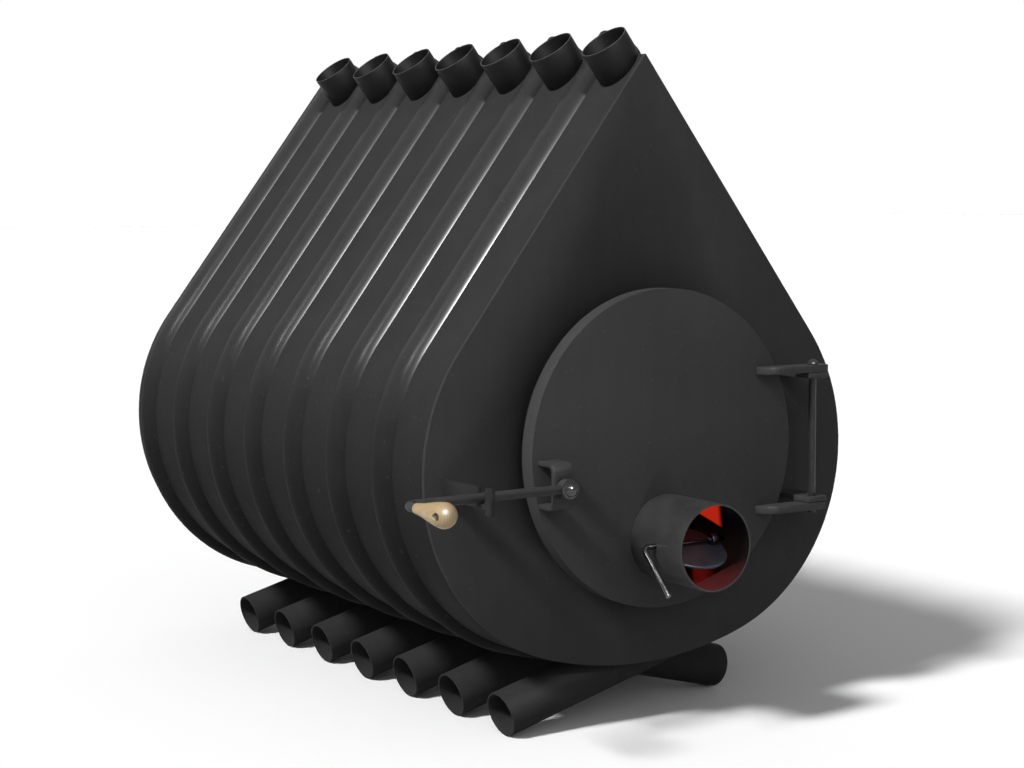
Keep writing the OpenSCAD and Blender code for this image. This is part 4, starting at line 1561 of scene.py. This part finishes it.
@dataclass
class Studio:
    """White floor and background, a soft lamp high on the left, a weak fill and two glints.

    The floor is darker for the light that it throws back at the stove, so that its sides stay dark.
    The glints draw the thin bright lines along the tubes.

    Args:
        centre: Middle of the floor under the stove.
        floor_size: Side of the floor.
        floor_white: Lightest colour of the floor as it is seen.
        floor_dimmer: Share of it in the floor's dimmer blots.
        floor_blots: How many blots there are to a metre.
        floor_throws: Colour of the floor for the light that it throws back.
        sky: Strength of the sky's light.
        mirrored_sky: Strength of the sky in reflections.
        lamps: The lamps.
    """

    centre: Vector
    floor_size: float = 60.0
    floor_white: float = 1.0
    floor_dimmer: float = 0.98
    floor_blots: float = 3.0
    floor_throws: float = 0.33
    sky: float = 0.24
    mirrored_sky: float = 0.42
    lamps: tuple[SunLamp, ...] = (
        SunLamp("key", (1.0, 0.17, -1.0), 3.4, 9),
        SunLamp("fill", (0.35, 1.0, -0.12), 0.7, 80),
        SunLamp("glint", (0.25, 0.73, -0.63), 14.0, 5, mirrored=True),
        SunLamp("soft_glint", (1.0, 0.17, -1.0), 0.5, 9, mirrored=True),
    )

    def floor(self) -> None:
        """Lays the floor, white outside the shadow."""
        deselect()
        bpy.ops.mesh.primitive_plane_add(size=self.floor_size, location=(self.centre.x, self.centre.y, 0))
        plane = bpy.context.active_object
        plane.name = plane.data.name = "floor"
        bpy.ops.object.transform_apply(location=True, rotation=True, scale=True)
        nodes = Shading.start("pale_floor")
        blots = nodes.noise(nodes.coords, self.floor_blots)
        pale = nodes.blend(blots, grey(self.floor_white), grey(self.floor_white * self.floor_dimmer))
        seen = nodes.rays("Is Camera Ray", "Is Transmission Ray", "Is Glossy Ray")
        colour = nodes.blend(seen, grey(self.floor_throws), pale)
        nodes.set(Base_Color=colour, Roughness=1.0, Specular_IOR_Level=0.0)
        plane.data.materials.append(bpy.data.materials["pale_floor"])

    def world(self) -> None:
        """Sets a white background and a weak even sky."""
        world = bpy.data.worlds.new("studio")
        bpy.context.scene.world = world
        world.use_nodes = True
        nodes = Nodes(world.node_tree)
        seen = nodes.rays("Is Camera Ray", "Is Transmission Ray")
        white = nodes.math("MULTIPLY", seen, 1 - self.sky)
        mirrored = nodes.math("MULTIPLY", nodes.rays("Is Glossy Ray"), self.mirrored_sky - self.sky)
        strength = nodes.math("ADD", nodes.math("ADD", white, mirrored), self.sky)
        nodes.fill(world.node_tree.nodes["Background"], Color=(1, 1, 1, 1), Strength=strength)

    def build(self) -> None:
        """Sets up the floor, the lamps and the background."""
        self.floor()
        for lamp in self.lamps:
            lamp.build(self.centre)
        self.world()


@dataclass
class PhotoCamera:
    """Camera at the photograph's place and angle.

    Args:
        stove: The stove, whose frame the place is given in.
    """

    stove: Stove
    place: Triple = (-1.5855, -2.1294, 0.7128)
    yaw: float = 0.5743
    pitch: float = 0.0984
    roll: float = -0.0052
    lens: float = 71.65
    sensor_width: float = 36.0
    nearest: float = 0.05
    farthest: float = 200.0

    def build(self) -> None:
        """Places the camera and makes it the scene's."""
        deselect()
        bpy.ops.object.camera_add(location=self.stove.at(*self.place))
        camera = bpy.context.active_object
        camera.name = "photo_camera"
        level = Vector((math.cos(self.yaw), -math.sin(self.yaw), 0))
        flat = Vector((math.sin(self.yaw), math.cos(self.yaw), 0))
        ahead = flat * math.cos(self.pitch) - UP * math.sin(self.pitch)
        above = level.cross(ahead)
        side = math.cos(self.roll) * level + math.sin(self.roll) * above
        top = -math.sin(self.roll) * level + math.cos(self.roll) * above
        camera.rotation_euler = Matrix((side, top, -ahead)).transposed().to_euler()
        camera.data.lens = self.lens
        camera.data.sensor_width = self.sensor_width
        camera.data.clip_start = self.nearest
        camera.data.clip_end = self.farthest
        bpy.context.scene.camera = camera


# Directions across the upright edges of the patches and across the edge
# of the painted light on the inlet's front wall.
UPRIGHT = Vector((-0.786, 0.612, -0.086))
LIT_WALL_EDGE = Vector((0.267, -0.426, -0.864))
ON_LIT_WALL_EDGE = (0.033, 0.040, -0.042)
# Painted fire light in patches on the inlet tube: its dim wall, deep red,
# a dark patch of painted shade, the wall in front and orange.
NECK_GLOWS = (
    Glow((0.005, 0.0018, 0.0018), (Edge((0.036, 0, 0), RIGHT, 0.010), Edge((0, 0, 0.005), -UP, 0.02))),
    Glow((0.075, 0.0034, 0.0024), (
        Edge(ON_LIT_WALL_EDGE, -LIT_WALL_EDGE),
        Edge((0, 0.105, 0), -BACK, 0.008),
        Edge((0, 0, -0.020), -UP, 0.010),
        Edge((0.029, 0.048, -0.046), UPRIGHT, 0.011),
    )),
    Glow((0.0015, 0.001, 0.001), (
        Edge((0.029, 0.0836, -0.047), UPRIGHT, 0.0025), Edge((0.025, 0.0863, -0.042), -UP, 0.0015),
    ), patchy=0),
    Glow((0.085, 0.014, 0.015), (
        Edge(ON_LIT_WALL_EDGE, LIT_WALL_EDGE), Edge((0, 0, -0.037), -UP, 0.026),
    ), patchy=0.1),
    Glow((0.43, 0.016, 0.0055), (
        Edge((0.046, 0.0886, 0.0264), Vector((0.488, -0.208, 0.848))),
        Edge((0.0345, 0.0371, 0.0402), UPRIGHT, 0.0035),
        Edge((0, 0.096, 0), -BACK, 0.003),
    ), patchy=0),
)
# Painted fire light on the heat shield, seen through the inlet.
SHIELD_FIRE_GLOW = Glow((0.16, 0.028, 0.022), (
    Edge((0.044, 0, 0), RIGHT, 0.002), Edge((0, 0, -0.036), -UP, 0.002), Edge((0, 0, -0.050), UP, 0.004),
))


def sleeve_finish(stove: Stove, hand: Hand) -> LippedSteel:
    """Finish of one row's sleeves, lighter at their cut ends.

    Args:
        stove: The stove.
        hand: Side that the row bends round.

    Returns:
        The finish.
    """
    s = stove.sizes
    end = s.roof_foot + s.roof_rise * (s.ridge_length + s.sleeve_rise)
    return LippedSteel(
        f"{hand.word}_sleeve_paint", "sleeve_black", grey(0.004), grey(0.007), roughness=0.5, specular=0.15,
        lip_at=tuple(stove.at(hand.value * end.x, 0, end.z)),
        lip_way=(hand.value * s.roof_rise.x, 0, s.roof_rise.z),
    )


def fire_lit_finishes() -> tuple[GlowingSteel, GlowingSteel, GlowingSteel]:
    """Makes the finishes that are darker near the inlet's axis and carry painted fire light.

    Returns:
        Finishes of the inlet tube, of the heat shield and of the damper's rod.
    """
    inlet = NodeBox.of("inlet_tube")
    rim, radius = inlet.front, inlet.size.x / 2
    neck = GlowingSteel(
        "inlet_paint", "fitting_steel", (0.024, 0.024, 0.025), (0.034, 0.034, 0.035),
        roughness=0.45, specular=0.3, mottle=0.04, rim=rim, reach=radius - 2.6 * MM, glows=NECK_GLOWS,
    )
    shield = GlowingSteel(
        "shield_steel", "dark_steel", (0.010, 0.010, 0.010), (0.018, 0.017, 0.016), specular=0.3,
        rim=rim, reach=1.6 * radius, glows=(SHIELD_FIRE_GLOW,),
    )
    lever = GlowingSteel(
        "lever_steel", "bright_steel", grey(0.10), grey(0.13), metallic=1.0, roughness=0.22, specular=0.5,
        mottle=0.01, grain=0.0006, depth=0.00001, rim=rim, reach=radius, soot=(0.050, 0.046, 0.060),
    )
    return neck, shield, lever


def main() -> None:
    """Loads the construction model, builds the stove's pieces in order and sets up the studio."""
    logging.basicConfig(level=logging.INFO, format="%(name)s: %(message)s")
    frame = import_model()
    bpy.context.scene.view_settings.view_transform = "Standard"
    stove = Stove()
    PhotoCamera(stove).build()

    # Tubes and casing: their bellies are darkened as painted shade.
    satin = SteelFinish("tube_paint", "tube_steel", grey(0.027), grey(0.032), coat=0.5, belly=0.5)
    casing = SteelFinish("casing_paint", "casing_steel", grey(0.030), grey(0.035), belly=0.5)
    plate = SteelFinish("plate_paint", "plate_steel", grey(0.041), grey(0.048), mottle=0.12)
    door_face = SteelFinish("door_paint", "plate_steel", grey(0.053), grey(0.060), mottle=0.12)
    dark = SteelFinish("black_steel", "dark_steel", grey(0.010), (0.018, 0.017, 0.016), specular=0.2)
    # The pin's paint is a darker copy of the fitting paint: painted shade for the hinge arm's shadow on the
    # pin.
    pin = SteelFinish(
        "pin_paint", "fitting_steel", grey(0.026), grey(0.034), roughness=0.4, specular=0.2, mottle=0.02,
    )
    fitting = SteelFinish(
        "fitting_paint", "fitting_steel", grey(0.042), grey(0.052),
        roughness=0.45, specular=0.08, mottle=0.02,
    )
    # The catch's paint is a darker copy of the fitting paint: painted shade, so that its face looks unlit.
    catch = SteelFinish(
        "catch_paint", "fitting_steel", grey(0.023), grey(0.029), roughness=0.5, specular=0.05, mottle=0.02,
    )
    bolt = SteelFinish(
        "bolt_paint", "fitting_steel", grey(0.022), grey(0.030), roughness=0.16, specular=0.6,
        mottle=0.01, grain=0.0006, depth=0.00001,
    )
    bright = SteelFinish(
        "bright_steel", "bright_steel", (0.50, 0.50, 0.51), (0.62, 0.62, 0.63), metallic=1.0,
        roughness=0.25, specular=0.5, mottle=0.01, grain=0.0006, depth=0.00003,
    )
    flap = SteelFinish(
        "flap_steel", "damper_steel", (0.038, 0.048, 0.064), (0.052, 0.065, 0.086),
        roughness=0.45, specular=0.2, mottle=0.03,
    )
    sleeves = {hand: sleeve_finish(stove, hand) for hand in Hand}
    neck, shield, lever = fire_lit_finishes()
    rope = RopeFinish("glass_rope", "rope", NodeBox.of("rope_seal").middle)
    wood = WoodFinish("handle_wood", "wood")

    for hand in Hand:
        AirTubes(stove, hand, satin, sleeves[hand]).build()
    EndPlates(stove, plate).build()
    Door(door_face, neck).build()
    Damper(flap, lever).build()
    Hinge(fitting, pin).build()
    Latch(fitting, catch, bolt, wood).build()
    CarriedNodes([
        (casing, ("right_casing_strip", "left_casing_strip")),
        (dark, ("door_frame_ring", "rope_channel", "baffle", "flue_collar")),
        (shield, ("heat_shield",)),
        (rope, ("rope_seal",)),
        (bright, ("shield_studs", "flue_damper_shaft")),
        (fitting, ("flue_damper_disc",)),
        (satin, ("right_air_tube", "left_air_tube")),
        (sleeves[Hand.RIGHT], ("right_outlet",)),
        (sleeves[Hand.LEFT], ("left_outlet",)),
        (plate, ("front_plate", "back_plate")),
        (door_face, ("door_panel",)),
    ]).build(frame["nodes"])
    Studio(stove.at(0, BODY_MIDDLE, 0)).build()


if __name__ == "__main__":
    main()
